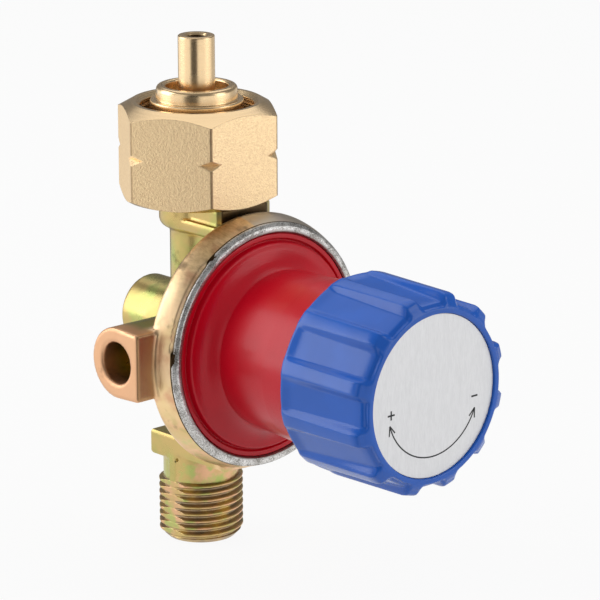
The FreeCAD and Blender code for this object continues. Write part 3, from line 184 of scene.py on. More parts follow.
class Tree:
    """Short way to add nodes: a value that is a socket is linked, any other is set."""

    def __init__(self, tree):
        self.tree = tree

    def add(self, kind, inputs=None, **settings):
        """New node of a kind, with its settings and inputs."""
        node = self.tree.nodes.new(kind)
        for key, value in settings.items():
            setattr(node, key, value)
        for key, value in (inputs or {}).items():
            self.feed(node.inputs[key], value)
        return node

    def feed(self, socket, value):
        """Links a socket to an output, or sets it to a plain value."""
        if isinstance(value, bpy.types.NodeSocket):
            self.tree.links.new(value, socket)
        else:
            socket.default_value = value

    def math(self, operation, a, b=0.0, c=0.0, clamp=False):
        """Result of one Math node."""
        node = self.add("ShaderNodeMath", {0: a, 1: b, 2: c}, operation=operation, use_clamp=clamp)
        return node.outputs[0]

    def times(self, first, *others):
        """Product of all the values."""
        for other in others:
            first = self.math("MULTIPLY", first, other)
        return first

    def scaled(self, value, factor, offset):
        """value * factor + offset."""
        return self.math("MULTIPLY_ADD", value, factor, offset)

    def largest(self, first, *others):
        """Largest of the values."""
        for other in others:
            first = self.math("MAXIMUM", first, other)
        return first

    def length(self, a, b):
        """Square root of a * a + b * b."""
        return self.math("SQRT", self.math("ADD", self.times(a, a), self.times(b, b)))

    def ramp(self, value, low, high, to_low=0.0, to_high=1.0):
        """Smooth step from to_low, where the value is low, to to_high, where it is high."""
        node = self.add("ShaderNodeMapRange", {0: value, 1: low, 2: high, 3: to_low, 4: to_high},
                        interpolation_type="SMOOTHSTEP")
        return node.outputs[0]

    def mix(self, factor, a, b):
        """Colour between a and b."""
        node = self.add("ShaderNodeMix", data_type="RGBA")
        self.feed(node.inputs[0], factor)
        self.feed(node.inputs[6], a)
        self.feed(node.inputs[7], b)
        return node.outputs[2]

    def blend(self, factor, first, second):
        """Mix Shader node between two shader nodes."""
        return self.add("ShaderNodeMixShader",
                        {0: factor, 1: first.outputs[0], 2: second.outputs[0]})

    def noise(self, vector, scale, detail, rough):
        """Noise over a place, 0 to 1."""
        node = self.add("ShaderNodeTexNoise", {"Vector": vector, "Scale": scale, "Detail": detail,
                                               "Roughness": rough})
        return node.outputs[0]

    def stretch(self, vector, scale, shift=(0.0, 0.0, 0.0)):
        """Place, scaled and then shifted."""
        node = self.add("ShaderNodeMapping", {"Vector": vector, "Location": shift, "Scale": scale})
        return node.outputs[0]

    def apart(self, vector):
        """The three parts of a vector."""
        return self.add("ShaderNodeSeparateXYZ", {0: vector}).outputs

    def place(self):
        """Place on the object, in metres."""
        return self.add("ShaderNodeTexCoord").outputs["Object"]

    def group(self, name, **values):
        """Outputs of a shared effect, placed with its own values."""
        node = self.add("ShaderNodeGroup", node_tree=bpy.data.node_groups[name])
        for key, value in values.items():
            self.feed(node.inputs[key], value)
        return node.outputs

    def bump(self, height, distance, strength):
        """Normal of a surface raised by a height."""
        inputs = {"Strength": strength, "Distance": distance, "Height": height}
        return self.add("ShaderNodeBump", inputs).outputs[0]


def new_group(name, sockets_in, sockets_out):
    """Empty shader node group with named sockets; gives its tree, its inputs and its end node."""
    group = bpy.data.node_groups.new(name, "ShaderNodeTree")
    kinds = {"vector": "NodeSocketVector", "value": "NodeSocketFloat", "colour": "NodeSocketColor"}
    for label, kind, default in sockets_in:
        socket = group.interface.new_socket(label, in_out="INPUT", socket_type=kinds[kind])
        if default is not None:
            socket.default_value = default
    for label, kind in sockets_out:
        group.interface.new_socket(label, in_out="OUTPUT", socket_type=kinds[kind])
    tree = Tree(group)
    start = tree.add("NodeGroupInput")
    end = tree.add("NodeGroupOutput")
    return tree, start.outputs, end


def build_groups():
    """Effects that several finishes share."""
    tree, given, end = new_group(
        "Cloudy tint",
        [("Place", "vector", None), ("Scale", "value", 60.0), ("First", "colour", WHITE),
         ("Second", "colour", WHITE), ("Third", "colour", WHITE)],
        [("Colour", "colour")])
    broad = tree.noise(given["Place"], given["Scale"], 3.0, 0.55)
    moved = tree.stretch(given["Place"], (1.0, 1.0, 1.0), (0.031, 0.017, -0.023))
    other = tree.noise(moved, tree.times(given["Scale"], 1.7), 3.0, 0.5)
    blend = tree.mix(tree.ramp(broad, 0.38, 0.62), given["First"], given["Second"])
    tree.feed(end.inputs["Colour"], tree.mix(tree.ramp(other, 0.46, 0.68), blend, given["Third"]))

    tree, given, end = new_group(
        "Cast skin",
        [("Place", "vector", None), ("Grain", "value", 900.0), ("Lumps", "value", 220.0)],
        [("Height", "value"), ("Mask", "value")])
    fine = tree.noise(given["Place"], given["Grain"], 3.0, 0.6)
    wide = tree.noise(given["Place"], given["Lumps"], 2.0, 0.5)
    tree.feed(end.inputs["Height"], tree.scaled(wide, 2.2, fine))
    tree.feed(end.inputs["Mask"], fine)

    tree, given, end = new_group(
        "Blasted grain",
        [("Place", "vector", None), ("Scale", "value", 1700.0)],
        [("Height", "value"), ("Mask", "value")])
    grit = tree.add("ShaderNodeTexVoronoi", {"Vector": given["Place"], "Scale": given["Scale"]},
                    feature="SMOOTH_F1").outputs["Distance"]
    soft = tree.noise(given["Place"], tree.times(given["Scale"], 0.45), 3.0, 0.6)
    both = tree.scaled(grit, 0.6, soft)
    tree.feed(end.inputs["Height"], both)
    tree.feed(end.inputs["Mask"], tree.ramp(both, 0.45, 0.95))

    tree, given, end = new_group(
        "Turned lines",
        [("Radius", "value", 0.0), ("Along", "value", 0.0), ("Scale", "value", 4000.0)],
        [("Height", "value"), ("Mask", "value")])
    spread = tree.scaled(given["Radius"], 0.83, given["Along"])
    lines = tree.add("ShaderNodeTexNoise", {"W": spread, "Scale": given["Scale"], "Detail": 3.0},
                     noise_dimensions="1D").outputs[0]
    slow = tree.add("ShaderNodeTexNoise", {"W": spread, "Scale": 700.0, "Detail": 1.0},
                    noise_dimensions="1D").outputs[0]
    tree.feed(end.inputs["Height"], lines)
    tree.feed(end.inputs["Mask"], tree.scaled(slow, 0.5, tree.times(lines, 0.5)))

    tree, given, end = new_group(
        "Handled blur", [("Place", "vector", None), ("Scale", "value", 90.0)], [("Mask", "value")])
    smear = tree.noise(given["Place"], given["Scale"], 4.0, 0.62)
    tree.feed(end.inputs["Mask"], tree.ramp(smear, 0.35, 0.7))


# ---- finishes ----

# Shades that no setting holds: painted shade inside a bore, a painted dark line along the nut's
# corners, and thin ink
BORE_SHADE = (0.09, 0.05, 0.02, 1.0)
CORNER_SHADE = (0.20, 0.12, 0.06, 1.0)
THIN_INK = (0.03, 0.03, 0.032, 1.0)


def new_finish(name, **constants):
    """Principled material whose constant sockets are set on the shader itself."""
    material = bpy.data.materials.new(name)
    material.use_nodes = True
    shader = material.node_tree.nodes["Principled BSDF"]
    for label, value in constants.items():
        shader.inputs[label.replace("_", " ")].default_value = value
    return material, Tree(material.node_tree), shader


def rgb(colour):
    """Opaque colour of three parts, for a colour socket."""
    return (*colour[:3], 1.0)


def refinish(node, finish):
    """Gives a node of the frame its finish."""
    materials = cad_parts[node].data.materials
    materials.clear()
    materials.append(finish)


def cloudy(tree, place, scale, first, second, third):
    """Three tints that drift into each other."""
    return tree.group("Cloudy tint", Place=place, Scale=scale, First=rgb(first),
                      Second=rgb(second), Third=rgb(third))["Colour"]


def knob_radius(tree, place):
    """Distance from the knob's axis, its reach and the two parts across, in metres."""
    x, y, z = tree.apart(place)
    up = tree.math("SUBTRACT", z, AXIS_HEIGHT * MM)
    return tree.length(x, up), tree.times(y, -1.0), x, up


def column_radius(tree, place):
    """Distance from the column's axis and the height, in metres."""
    x, y, z = tree.apart(place)
    return tree.length(x, y), z


def plated_finish(sizes):
    """Yellow passivated zinc: greenish gold on the column, pinkish gold on the rim and port. Each
    patch is a product of ramps over the radius, reach, side, height or turn, in metres and radians.
    The upper rim has brown streaks, and beyond the parting mark it is bare. A near-black brown
    marks random smudges, and is painted shade on the plate under the nut and in the crease where
    the rolled lip sits."""
    material, tree, shader = new_finish("plated casting", Metallic=1.0)
    place = tree.place()
    radius, reach, side, up = knob_radius(tree, place)
    turn = tree.math("ARCTAN2", up, side)

    def sector(rise, fall):
        """Part of the rim that begins and ends between angles in degrees."""
        return tree.times(tree.ramp(turn, *(math.radians(v) for v in rise)),
                          tree.ramp(turn, *(math.radians(v) for v in fall)))

    rim = tree.times(tree.ramp(radius, 0.0255, 0.0285), tree.ramp(reach, 0.0150, 0.0185))
    port = tree.ramp(side, -0.0300, -0.0360)
    warm = tree.largest(rim, port)
    green = cloudy(tree, place, 70.0, sizes.green_gold, sizes.gold, sizes.pale_green)
    pink = cloudy(tree, place, 85.0, sizes.pink_gold, sizes.rim_gold, sizes.rose)
    patches = cloudy(tree, place, 170.0, sizes.rose, sizes.gold, sizes.pale_green)
    colour = tree.mix(warm, green, pink)
    height = tree.apart(place)["Z"]
    neck = tree.times(tree.ramp(height, 0.0216, 0.0208), tree.ramp(reach, 0.0008, 0.0016))
    colour = tree.mix(neck, colour, patches)
    low_rim = tree.times(tree.ramp(up, -0.0090, -0.0190, 0.0, 0.6),
                         tree.ramp(side, 0.0020, -0.0060))
    colour = tree.mix(tree.times(low_rim, rim), colour, patches)
    colour = tree.mix(port, colour, rgb(sizes.rose))
    port_front = tree.times(tree.ramp(reach, 0.0199, 0.0202, 0.0, 0.75),
                            tree.ramp(side, -0.0312, -0.0322))
    colour = tree.mix(port_front, colour, rgb(sizes.streak))
    wrapped = tree.add("ShaderNodeCombineXYZ", {0: turn, 1: tree.times(reach, 14.0), 2: 0.0})
    streaks = tree.ramp(tree.noise(wrapped.outputs[0], 26.0, 5.0, 0.7), 0.30, 0.75)
    streaks = tree.times(streaks, sector((90, 100), (158, 128)), rim)
    brown = tree.times(sector((99, 108), (134, 118)), rim)
    streaks = tree.scaled(brown, 0.35, tree.times(streaks, 0.5))
    colour = tree.mix(streaks, colour, rgb(sizes.streak))
    parting = tree.ramp(turn, math.radians(97), math.radians(95.5))
    bare = tree.times(parting, tree.ramp(turn, -0.7, -0.3), rim, 0.8)
    colour = tree.mix(bare, colour, rgb(sizes.bare))
    smudge = tree.noise(tree.stretch(place, (1.0, 1.0, 1.0), (0.012, 0.004, 0.021)), 95.0, 4.0, 0.6)
    smudge = tree.times(tree.ramp(smudge, 0.60, 0.72), 0.6)
    # Painted shade: the front of the head's plate, under the nut and behind the rim, is darkened to
    # near black.
    plate = tree.times(tree.ramp(reach, 0.01625, 0.01650), tree.ramp(up, 0.0285, 0.0290),
                       tree.ramp(reach, 0.0173, 0.0171), 0.95)
    # Painted shade: a dark line in the crease where the rolled lip meets the rim.
    crevice_shade = tree.times(tree.ramp(reach, 0.02440, 0.02455), tree.ramp(radius, 0.0308, 0.0305))
    # The near-black brown serves random smudges and the painted shade on the plate and in the
    # crease.
    smudge_and_shade = tree.largest(plate, smudge, crevice_shade)
    tree.feed(shader.inputs["Base Color"], tree.mix(smudge_and_shade, colour, rgb(sizes.smudge_and_shade)))
    skin = tree.group("Cast skin", Place=place, Grain=1300.0, Lumps=260.0)
    blur = tree.group("Handled blur", Place=place, Scale=120.0)["Mask"]
    rough = tree.scaled(blur, 0.12, tree.scaled(warm, 0.10, 0.22))
    tree.feed(shader.inputs["Roughness"], tree.scaled(skin["Mask"], 0.10, rough))
    tree.feed(shader.inputs["Normal"], tree.bump(skin["Height"], 0.00003, 0.7))
    return material


def thread_finish(sizes):
    """Passivated thread: brown in its roots, bright on its crests and on the parting's flats."""
    material, tree, shader = new_finish("plated thread", Metallic=1.0)
    place = tree.place()
    radius, height = column_radius(tree, place)
    side = tree.math("ABSOLUTE", tree.apart(place)["X"])
    crest = tree.largest(tree.ramp(radius, 0.00995, 0.01046, 0.0, 0.85),
                         tree.times(tree.ramp(side, 0.00930, 0.00948), 0.85))
    tint = cloudy(tree, place, 120.0, sizes.thread_brown, sizes.thread_dark, sizes.gold)
    bright = cloudy(tree, place, 150.0, sizes.gold, sizes.rose, sizes.pale_green)
    tree.feed(shader.inputs["Base Color"], tree.mix(crest, tint, bright))
    lines = tree.group("Turned lines", Radius=radius, Along=height, Scale=3500.0)
    tree.feed(shader.inputs["Roughness"], tree.scaled(lines["Mask"], 0.2, 0.30))
    tree.feed(shader.inputs["Normal"], tree.bump(lines["Height"], 0.00003, 0.7))
    return material


def lip_finish(sizes):
    """Zinc lip, rolled over cold: bright hammered metal with grey stains. The same grey is painted
    shade along its inner edge beside the bonnet, and speckled painted shade at the lower left."""
    material, tree, shader = new_finish("rolled lip", Metallic=1.0)
    place = tree.place()
    dents = tree.noise(place, 700.0, 2.0, 0.55)
    fine = tree.noise(place, 3600.0, 3.0, 0.65)
    mottle = tree.scaled(tree.noise(place, 260.0, 3.0, 0.6), 0.45, tree.times(fine, 0.55))
    radius, _, side, up = knob_radius(tree, place)
    # Painted shade, in speckles: the lip is darker at its lower left.
    lower = tree.times(tree.ramp(side, -0.0120, -0.0200, 0.0, 0.6),
                       tree.ramp(up, -0.0060, -0.0140), tree.ramp(fine, 0.38, 0.56, 0.25, 1.2))
    # The mottle gives real grey stains; the darker inner edge beside the bonnet is painted shade.
    stain_and_shade = tree.largest(tree.ramp(mottle, 0.40, 0.62),
                         tree.ramp(radius, 0.0288, 0.0282, 0.0, 0.7), lower)
    tree.feed(shader.inputs["Base Color"], tree.mix(stain_and_shade, rgb(sizes.lip), rgb(sizes.lip_stain_and_shade)))
    tree.feed(shader.inputs["Roughness"], tree.scaled(fine, 0.35, 0.22))
    tree.feed(shader.inputs["Normal"], tree.bump(tree.scaled(dents, 1.6, fine), 0.00007, 1.0))
    return material


def enamel_finish(sizes):
    """Glossy red powder coat over the pressed bonnet, with a faint orange peel."""
    material, tree, shader = new_finish("red enamel", Coat_Weight=0.06, Coat_Roughness=0.08,
                                        IOR=1.38)
    place = tree.place()
    tint = cloudy(tree, place, 45.0, sizes.paint, sizes.paint_deep, sizes.paint)
    tree.feed(shader.inputs["Base Color"], tint)
    peel = tree.noise(place, 900.0, 2.0, 0.5)
    dust = tree.noise(place, 5200.0, 2.0, 0.5)
    tree.feed(shader.inputs["Roughness"], tree.scaled(dust, 0.14, 0.23))
    tree.feed(shader.inputs["Normal"], tree.bump(tree.scaled(dust, 0.35, peel), 0.000022, 0.8))
    return material


def turned_finish(name, colour, dark, rough, centre="column", bore=0.0):
    """Bright turned metal: fine lines run round its axis. Inside the bore's radius it is painted
    dark brown as shade.
    """
    material, tree, shader = new_finish(name, Metallic=1.0)
    place = tree.place()
    if centre == "column":
        radius, along = column_radius(tree, place)
    else:
        radius, along = knob_radius(tree, place)[:2]
    lines = tree.group("Turned lines", Radius=radius, Along=along, Scale=4200.0)
    blur = tree.group("Handled blur", Place=place, Scale=140.0)["Mask"]
    shade = tree.mix(lines["Mask"], rgb(colour), rgb(dark))
    # Painted shade: dark brown inside the bore.
    shade = tree.mix(tree.ramp(radius, bore, bore - 0.00002), shade, BORE_SHADE)
    tree.feed(shader.inputs["Base Color"], shade)
    wide = tree.scaled(blur, 0.08, rough)
    tree.feed(shader.inputs["Roughness"], tree.scaled(lines["Mask"], 0.12, wide))
    tree.feed(shader.inputs["Normal"], tree.bump(lines["Height"], 0.000012, 0.6))
    return material


def nut_finish(sizes):
    """Blasted brass flats; the turned cones, faces and mouth are bright. A place lies on or beyond
    a cone where its height, or for the lower cone its depth, plus radius * CONE passes an edge."""
    material, tree, shader = new_finish("blasted brass")
    place = tree.place()
    radius, height = column_radius(tree, place)

    def beyond(slant, edge):
        """0 before an edge in millimetres and 1 from just short of it on."""
        return tree.ramp(slant, (edge - 0.09) * MM, (edge - 0.03) * MM)

    top = beyond(tree.scaled(radius, CONE, height), NUT_HIGH + NUT_FACE * CONE)
    low = beyond(tree.scaled(radius, CONE, tree.times(height, -1.0)), NUT_FLAT * CONE - NUT_LOW)
    inside = tree.ramp(radius, 0.0172, 0.0168)
    machined = tree.largest(top, low, inside)
    grain = tree.group("Blasted grain", Place=place, Scale=3600.0)
    lines = tree.group("Turned lines", Radius=radius, Along=height, Scale=3800.0)
    # Painted shade: a dark brown line along the nut's rounded corners.
    corner = tree.ramp(radius, 0.02055, 0.02064)
    grainy = tree.mix(grain["Mask"], rgb(sizes.brass_dark), rgb(sizes.brass))
    flat = tree.mix(tree.times(corner, 0.7), grainy, CORNER_SHADE)
    turned = tree.mix(lines["Mask"], rgb(sizes.brass_bright), rgb(sizes.brass_dark))
    tree.feed(shader.inputs["Base Color"], tree.mix(machined, flat, turned))
    tree.feed(shader.inputs["Metallic"], tree.scaled(machined, 0.14, 0.86))
    matt = tree.scaled(grain["Mask"], -0.06, 0.47)
    shiny = tree.scaled(lines["Mask"], 0.14, 0.18)
    rough = tree.scaled(machined, tree.math("SUBTRACT", shiny, matt), matt)
    tree.feed(shader.inputs["Roughness"], rough)
    raised = tree.times(grain["Height"], tree.scaled(machined, -0.93, 1.0))
    raised = tree.scaled(lines["Height"], tree.times(machined, 0.1), raised)
    tree.feed(shader.inputs["Normal"], tree.bump(raised, 0.00009, 1.0))
    return material


def knob_finish(sizes):
    """Moulded blue plastic, satin, with faint flow marks along the pull of the mould."""
    material, tree, shader = new_finish("blue plastic", IOR=1.47)
    place = tree.place()
    tint = cloudy(tree, place, 50.0, sizes.blue, sizes.blue_deep, sizes.blue)
    tree.feed(shader.inputs["Base Color"], tint)
    fine = tree.noise(place, 3800.0, 3.0, 0.6)
    flow = tree.noise(tree.stretch(place, (1.0, 0.08, 1.0)), 1500.0, 2.0, 0.5)
    blur = tree.group("Handled blur", Place=place, Scale=110.0)["Mask"]
    tree.feed(shader.inputs["Roughness"], tree.scaled(fine, 0.08, tree.scaled(blur, 0.06, 0.15)))
    tree.feed(shader.inputs["Normal"], tree.bump(tree.scaled(flow, 0.5, fine), 0.000016, 0.8))
    return material


def label_finish(sizes):
    """Brushed alloy foil: long fine streaks from top to bottom."""
    material, tree, shader = new_finish("label foil", Metallic=0.75)
    place = tree.place()
    streak = tree.noise(tree.stretch(place, (1.0, 1.0, 0.09)), 6500.0, 3.0, 0.65)
    broad = tree.noise(tree.stretch(place, (1.0, 1.0, 0.3)), 900.0, 2.0, 0.5)
    mask = tree.ramp(tree.scaled(broad, 0.3, tree.times(streak, 0.7)), 0.34, 0.66)
    tree.feed(shader.inputs["Base Color"], tree.mix(mask, rgb(sizes.foil_dark), rgb(sizes.foil)))
    tree.feed(shader.inputs["Roughness"], tree.scaled(mask, 0.14, 0.36))
    tree.feed(shader.inputs["Normal"], tree.bump(streak, 0.00001, 0.5))
    return material


def ink_finish(sizes):
    """Black screen print, a little thin in places."""
    material, tree, shader = new_finish("printed ink", IOR=1.45)
    thin = tree.ramp(tree.noise(tree.place(), 2400.0, 3.0, 0.6), 0.35, 0.75)
    tree.feed(shader.inputs["Base Color"], tree.mix(thin, rgb(sizes.ink), THIN_INK))
    tree.feed(shader.inputs["Roughness"], tree.scaled(thin, 0.15, 0.42))
    return material


def plain_finish(name, colour, dark, metallic, rough, scale, depth):
    """Finish of an inner piece: a mottled colour with fine grain."""
    material, tree, shader = new_finish(name, Metallic=metallic)
    skin = tree.group("Cast skin", Place=tree.place(), Grain=scale, Lumps=scale / 5)
    tree.feed(shader.inputs["Base Color"], tree.mix(skin["Mask"], rgb(colour), rgb(dark)))
    tree.feed(shader.inputs["Roughness"], tree.scaled(skin["Mask"], 0.2, rough))
    tree.feed(shader.inputs["Normal"], tree.bump(skin["Height"], depth, 0.7))
    return material


# ---- sizes and colours a user may change ----

def colour_property(name, description, default):
    """Colour of three parts, 0 to 1."""
    return bpy.props.FloatVectorProperty(name=name, description=description, default=default,
                                         subtype="COLOR", size=3, min=0.0, max=1.0)


def length_property(name, description, default):
    """Length in millimetres."""
    return bpy.props.FloatProperty(name=name, description=description + ", in millimetres",
                                   default=default, min=0.0, precision=3)


def number_property(name, description, default):
    """Plain number, whose description says what it measures."""
    return bpy.props.FloatProperty(name=name, description=description, default=default)


class CastingSettings(bpy.types.PropertyGroup):
    """Sizes of the cast body, and tints of its plating, thread and lip"""
    grid: length_property("Grid", "Spacing of the grid that the cast skin is worked out on", 0.5)
    fillet: length_property("Fillet", "Blend between the forms of the casting", 1.4)
    edge: length_property("Edge", "Rounding of the casting's outer edges", 0.55)
    green_gold: colour_property("Green gold", "Passivation on the column", (0.40, 0.385, 0.125))
    pale_green: colour_property("Pale green", "Passivation where it is thin", (0.42, 0.46, 0.145))
    gold: colour_property("Gold", "Passivation between the tints", (0.55, 0.40, 0.155))
    pink_gold: colour_property("Pink gold", "Passivation on the rim", (0.93, 0.68, 0.41))
    rim_gold: colour_property("Rim gold", "Yellower passivation on the rim", (0.86, 0.64, 0.34))
    rose: colour_property("Rose", "Passivation where it is thick", (0.72, 0.42, 0.24))
    bare: colour_property("Bare", "Rim beyond the parting mark", (0.50, 0.47, 0.42))
    streak: colour_property("Streak", "Brown streaks on the upper rim", (0.34, 0.19, 0.08))
    # Painted shade and smudges: this near-black brown darkens the plate under the nut and the
    # crease under the lip, and marks random smudges.
    smudge_and_shade: colour_property("Burnt", "Dark passivation on the head's plate", (0.050, 0.028, 0.012))
    thread_brown: colour_property("Thread brown", "Passivation in the thread's roots",
                                  (0.42, 0.29, 0.16))
    thread_dark: colour_property("Thread dark", "Deepest tint in the thread's roots",
                                 (0.30, 0.23, 0.15))
    lip: colour_property("Lip", "Rolled lip", (0.78, 0.77, 0.75))
    # Grey of the lip's stains, also used as painted shade along its inner edge and at its lower
    # left.
    lip_stain_and_shade: colour_property("Lip stain", "Stains on the rolled lip", (0.20, 0.185, 0.165))


class BonnetSettings(bpy.types.PropertyGroup):
    """Sizes and paint of the bonnet"""
    edge: length_property("Edge", "Rounding of the pressed edges", 0.35)
    neck_radius: length_property("Neck radius", "Radius of the neck inside the knob", 20.3)
    paint: colour_property("Paint", "Red enamel", (0.60, 0.001, 0.014))
    paint_deep: colour_property("Deep paint", "Enamel where it is thicker", (0.54, 0.001, 0.012))


class KnobSettings(bpy.types.PropertyGroup):
    """Ribs, plastic, foil and printed marks of the knob"""
    ribs: bpy.props.IntProperty(name="Ribs", description="Number of ribs round the grip",
                                default=12, min=3)
    phase: number_property("Phase", "Angle of the first rib, in degrees", 15.5)
    half_rib: number_property("Half rib", "Half the angle of a rib, in degrees", 7.3)
    flank: number_property("Flank", "Angle of a rib's flank, in degrees", 3.7)
    blue: colour_property("Blue", "Moulded plastic", (0.010, 0.112, 0.540))
    blue_deep: colour_property("Deep blue", "Moulded plastic in its shade", (0.008, 0.100, 0.490))
    foil: colour_property("Foil", "Label foil", (0.72, 0.72, 0.73))
    foil_dark: colour_property("Foil streaks", "Streaks in the label foil", (0.64, 0.64, 0.65))
    ink: colour_property("Ink", "Printed marks", (0.010, 0.010, 0.012))
    arrow_radius: length_property("Arrow radius", "Radius of the printed arrow", 14.6)
    line: length_property("Line", "Width of the printed lines", 0.34)


class FittingSettings(bpy.types.PropertyGroup):
    """Corners of the union nut, and the tints of the brass"""
    corner: number_property("Corner", "Softness of the nut's corners, as a share of its radius",
                            0.016)
    brass: colour_property("Brass", "Blasted brass", (0.98, 0.74, 0.43))
    brass_dark: colour_property("Dark brass", "Brass in its grain", (0.86, 0.62, 0.36))
    brass_bright: colour_property("Bright brass", "Turned brass", (0.90, 0.67, 0.39))


class StudioSettings(bpy.types.PropertyGroup):
    """Camera and room of the main view"""
    azimuth: number_property("Azimuth", "Camera's angle round the column, in degrees", -42.311)
    elevation: number_property("Elevation", "Camera's angle above the horizon, in degrees", 15.644)
    roll: number_property("Roll", "Camera's roll, in degrees", -0.186)
    lens: number_property("Lens", "Focal length on a 36 mm sensor, in millimetres", 216.52)
    spot: bpy.props.FloatVectorProperty(name="Camera place", description="Where the camera stands",
                                        default=(-0.559156, -0.651276, 0.300511),
                                        subtype="TRANSLATION", unit="LENGTH")
    room: number_property("Room light", "Strength of the pale room", 0.56)


# ---- the stage ----

FLOOR_HALF, FLOOR_LEVEL = 3.0, -0.0002
FLOOR_COLOUR, FLOOR_CLOTH = (0.62, 0.62, 0.61, 1.0), (0.06, 0.06, 0.06, 1.0)
ROOM_COLOUR, ROOM_CLOTH = (0.97, 0.98, 1.0, 1.0), (0.05, 0.05, 0.05, 1.0)
LAMP_AIM = (0.0, -0.02, 0.06)
# Each lamp's place and size in metres, and its power in watts
LAMPS = {
    "left_softbox": ((-0.54, 0.62, 0.38), (0.70, 0.80), 4.4),
    "top_softbox": ((0.29, 0.30, 0.86), (0.92, 0.92), 2.3),
    "right_softbox": ((0.46, -0.78, 0.32), (0.48, 0.84), 2.0),
}


def ray_kinds(tree):
    """1 on the camera's rays, and 1 on rays that reflect or pass through."""
    path = tree.add("ShaderNodeLightPath").outputs
    mirrored = tree.math("ADD", path["Is Glossy Ray"], path["Is Transmission Ray"], clamp=True)
    return path["Is Camera Ray"], mirrored


class REGULATOR_OT_stage(bpy.types.Operator):
    """Pale floor, pale room, soft lamps and the camera"""
    bl_idname = "regulator.stage"
    bl_label = "Stage"

    def execute(self, context):
        scene = context.scene
        sizes = scene.regulator_studio
        scene.view_settings.view_transform = "Standard"
        self.floor(scene)
        self.room(scene, sizes.room)
        for name, (spot, size, watts) in LAMPS.items():
            self.lamp(scene, name, spot, size, watts)
        self.camera(scene, sizes)
        return {"FINISHED"}

    def camera(self, scene, sizes):
        """Camera of the main view. Back, right and up are its axes, right and up turned by roll."""
        camera = bpy.data.cameras.new("photo_camera")
        camera.sensor_width = 36.0
        camera.lens = sizes.lens
        camera.clip_start = 0.05
        camera.clip_end = 20.0
        view = bpy.data.objects.new("photo_camera", camera)
        scene.collection.objects.link(view)
        az, el, roll = (math.radians(v) for v in (sizes.azimuth, sizes.elevation, sizes.roll))
        back = Vector((math.sin(az) * math.cos(el), -math.cos(az) * math.cos(el), math.sin(el)))
        right = Vector((math.cos(az), math.sin(az), 0.0))
        up = back.cross(right)
        right, up = (right * math.cos(roll) + up * math.sin(roll),
                     up * math.cos(roll) - right * math.sin(roll))
        turn = Matrix((right, up, back)).transposed().to_4x4()
        view.matrix_world = Matrix.Translation(Vector(sizes.spot)) @ turn
        scene.camera = view

    def floor(self, scene):
        """Pale floor that keeps the object's shadow. In reflections it is white, with the dark
        cloths from a little way off."""
        mesh = bpy.data.meshes.new("studio_floor")
        corners = [(FLOOR_HALF * x, FLOOR_HALF * y, FLOOR_LEVEL)
                   for x, y in ((-1, -1), (1, -1), (1, 1), (-1, 1))]
        mesh.from_pydata(corners, [], [(0, 1, 2, 3)])
        floor = bpy.data.objects.new("studio_floor", mesh)
        scene.collection.objects.link(floor)
        material, tree, shader = new_finish("studio floor", Base_Color=FLOOR_COLOUR, Roughness=0.9)
        x, y, _ = tree.apart(tree.place())
        cloths = tree.times(self.dark_cloths(tree, x, y), tree.ramp(tree.length(x, y), 0.06, 0.16))
        camera, mirrored = ray_kinds(tree)
        shade = tree.mix(tree.times(cloths, mirrored), WHITE, FLOOR_CLOTH)
        strength = tree.scaled(mirrored, 0.12, 1.0)
        glow = tree.add("ShaderNodeEmission", {"Color": shade, "Strength": strength})
        seen = tree.math("ADD", camera, mirrored, clamp=True)
        blend = tree.blend(tree.times(seen, 0.92), shader, glow)
        tree.feed(material.node_tree.nodes["Material Output"].inputs["Surface"], blend.outputs[0])
        mesh.materials.append(material)

    def room(self, scene, strength):
        """White to the camera, and a pale light of a strength on the object. In reflections it is
        white with dark cloths, a pale card and a dark ceiling."""
        world = bpy.data.worlds.new("pale room")
        scene.world = world
        world.use_nodes = True
        tree = Tree(world.node_tree)
        world.node_tree.nodes.clear()
        x, y, z = tree.apart(tree.add("ShaderNodeTexCoord").outputs["Generated"])
        cloths = tree.times(self.dark_cloths(tree, x, y), tree.ramp(z, 0.8, 0.4))
        ceiling = tree.ramp(z, 0.02, 0.16, 0.0, 0.82)
        card = tree.times(self.towards(tree, x, y, -178.0, 0.92, 0.98), tree.ramp(z, 0.75, 0.45))
        dark = tree.times(tree.largest(cloths, ceiling), tree.scaled(card, -0.9, 1.0))
        camera, mirrored = ray_kinds(tree)

        def background(colour, power):
            """Background shader node."""
            return tree.add("ShaderNodeBackground", {"Color": colour, "Strength": power})

        shown = tree.blend(mirrored, background(ROOM_COLOUR, strength),
                           background(tree.mix(dark, WHITE, ROOM_CLOTH), 1.0))
        shown = tree.blend(camera, shown, background(WHITE, 1.0))
        tree.add("ShaderNodeOutputWorld", {"Surface": shown.outputs[0]})

    def towards(self, tree, x, y, degrees, start, full, depth=1.0):
        """How near a level direction lies to an angle: the cosine between them, start to full."""
        level = tree.add("ShaderNodeCombineXYZ", {0: x, 1: y, 2: 0.0}).outputs[0]
        level = tree.add("ShaderNodeVectorMath", {0: level}, operation="NORMALIZE").outputs[0]
        angle = math.radians(degrees)
        way = Vector((math.cos(angle), math.sin(angle), 0.0))
        dot = tree.add("ShaderNodeVectorMath", {0: level, 1: way}, operation="DOT_PRODUCT")
        return tree.ramp(dot.outputs["Value"], start, full, 0.0, depth)

    def dark_cloths(self, tree, x, y):
        """Dark cloths in front, behind and at the right of the set."""
        return tree.largest(self.towards(tree, x, y, -146.0, 0.910, 0.954),
                            self.towards(tree, x, y, 52.0, 0.80, 0.93, 0.85),
                            self.towards(tree, x, y, -5.0, 0.90, 0.97, 0.50))

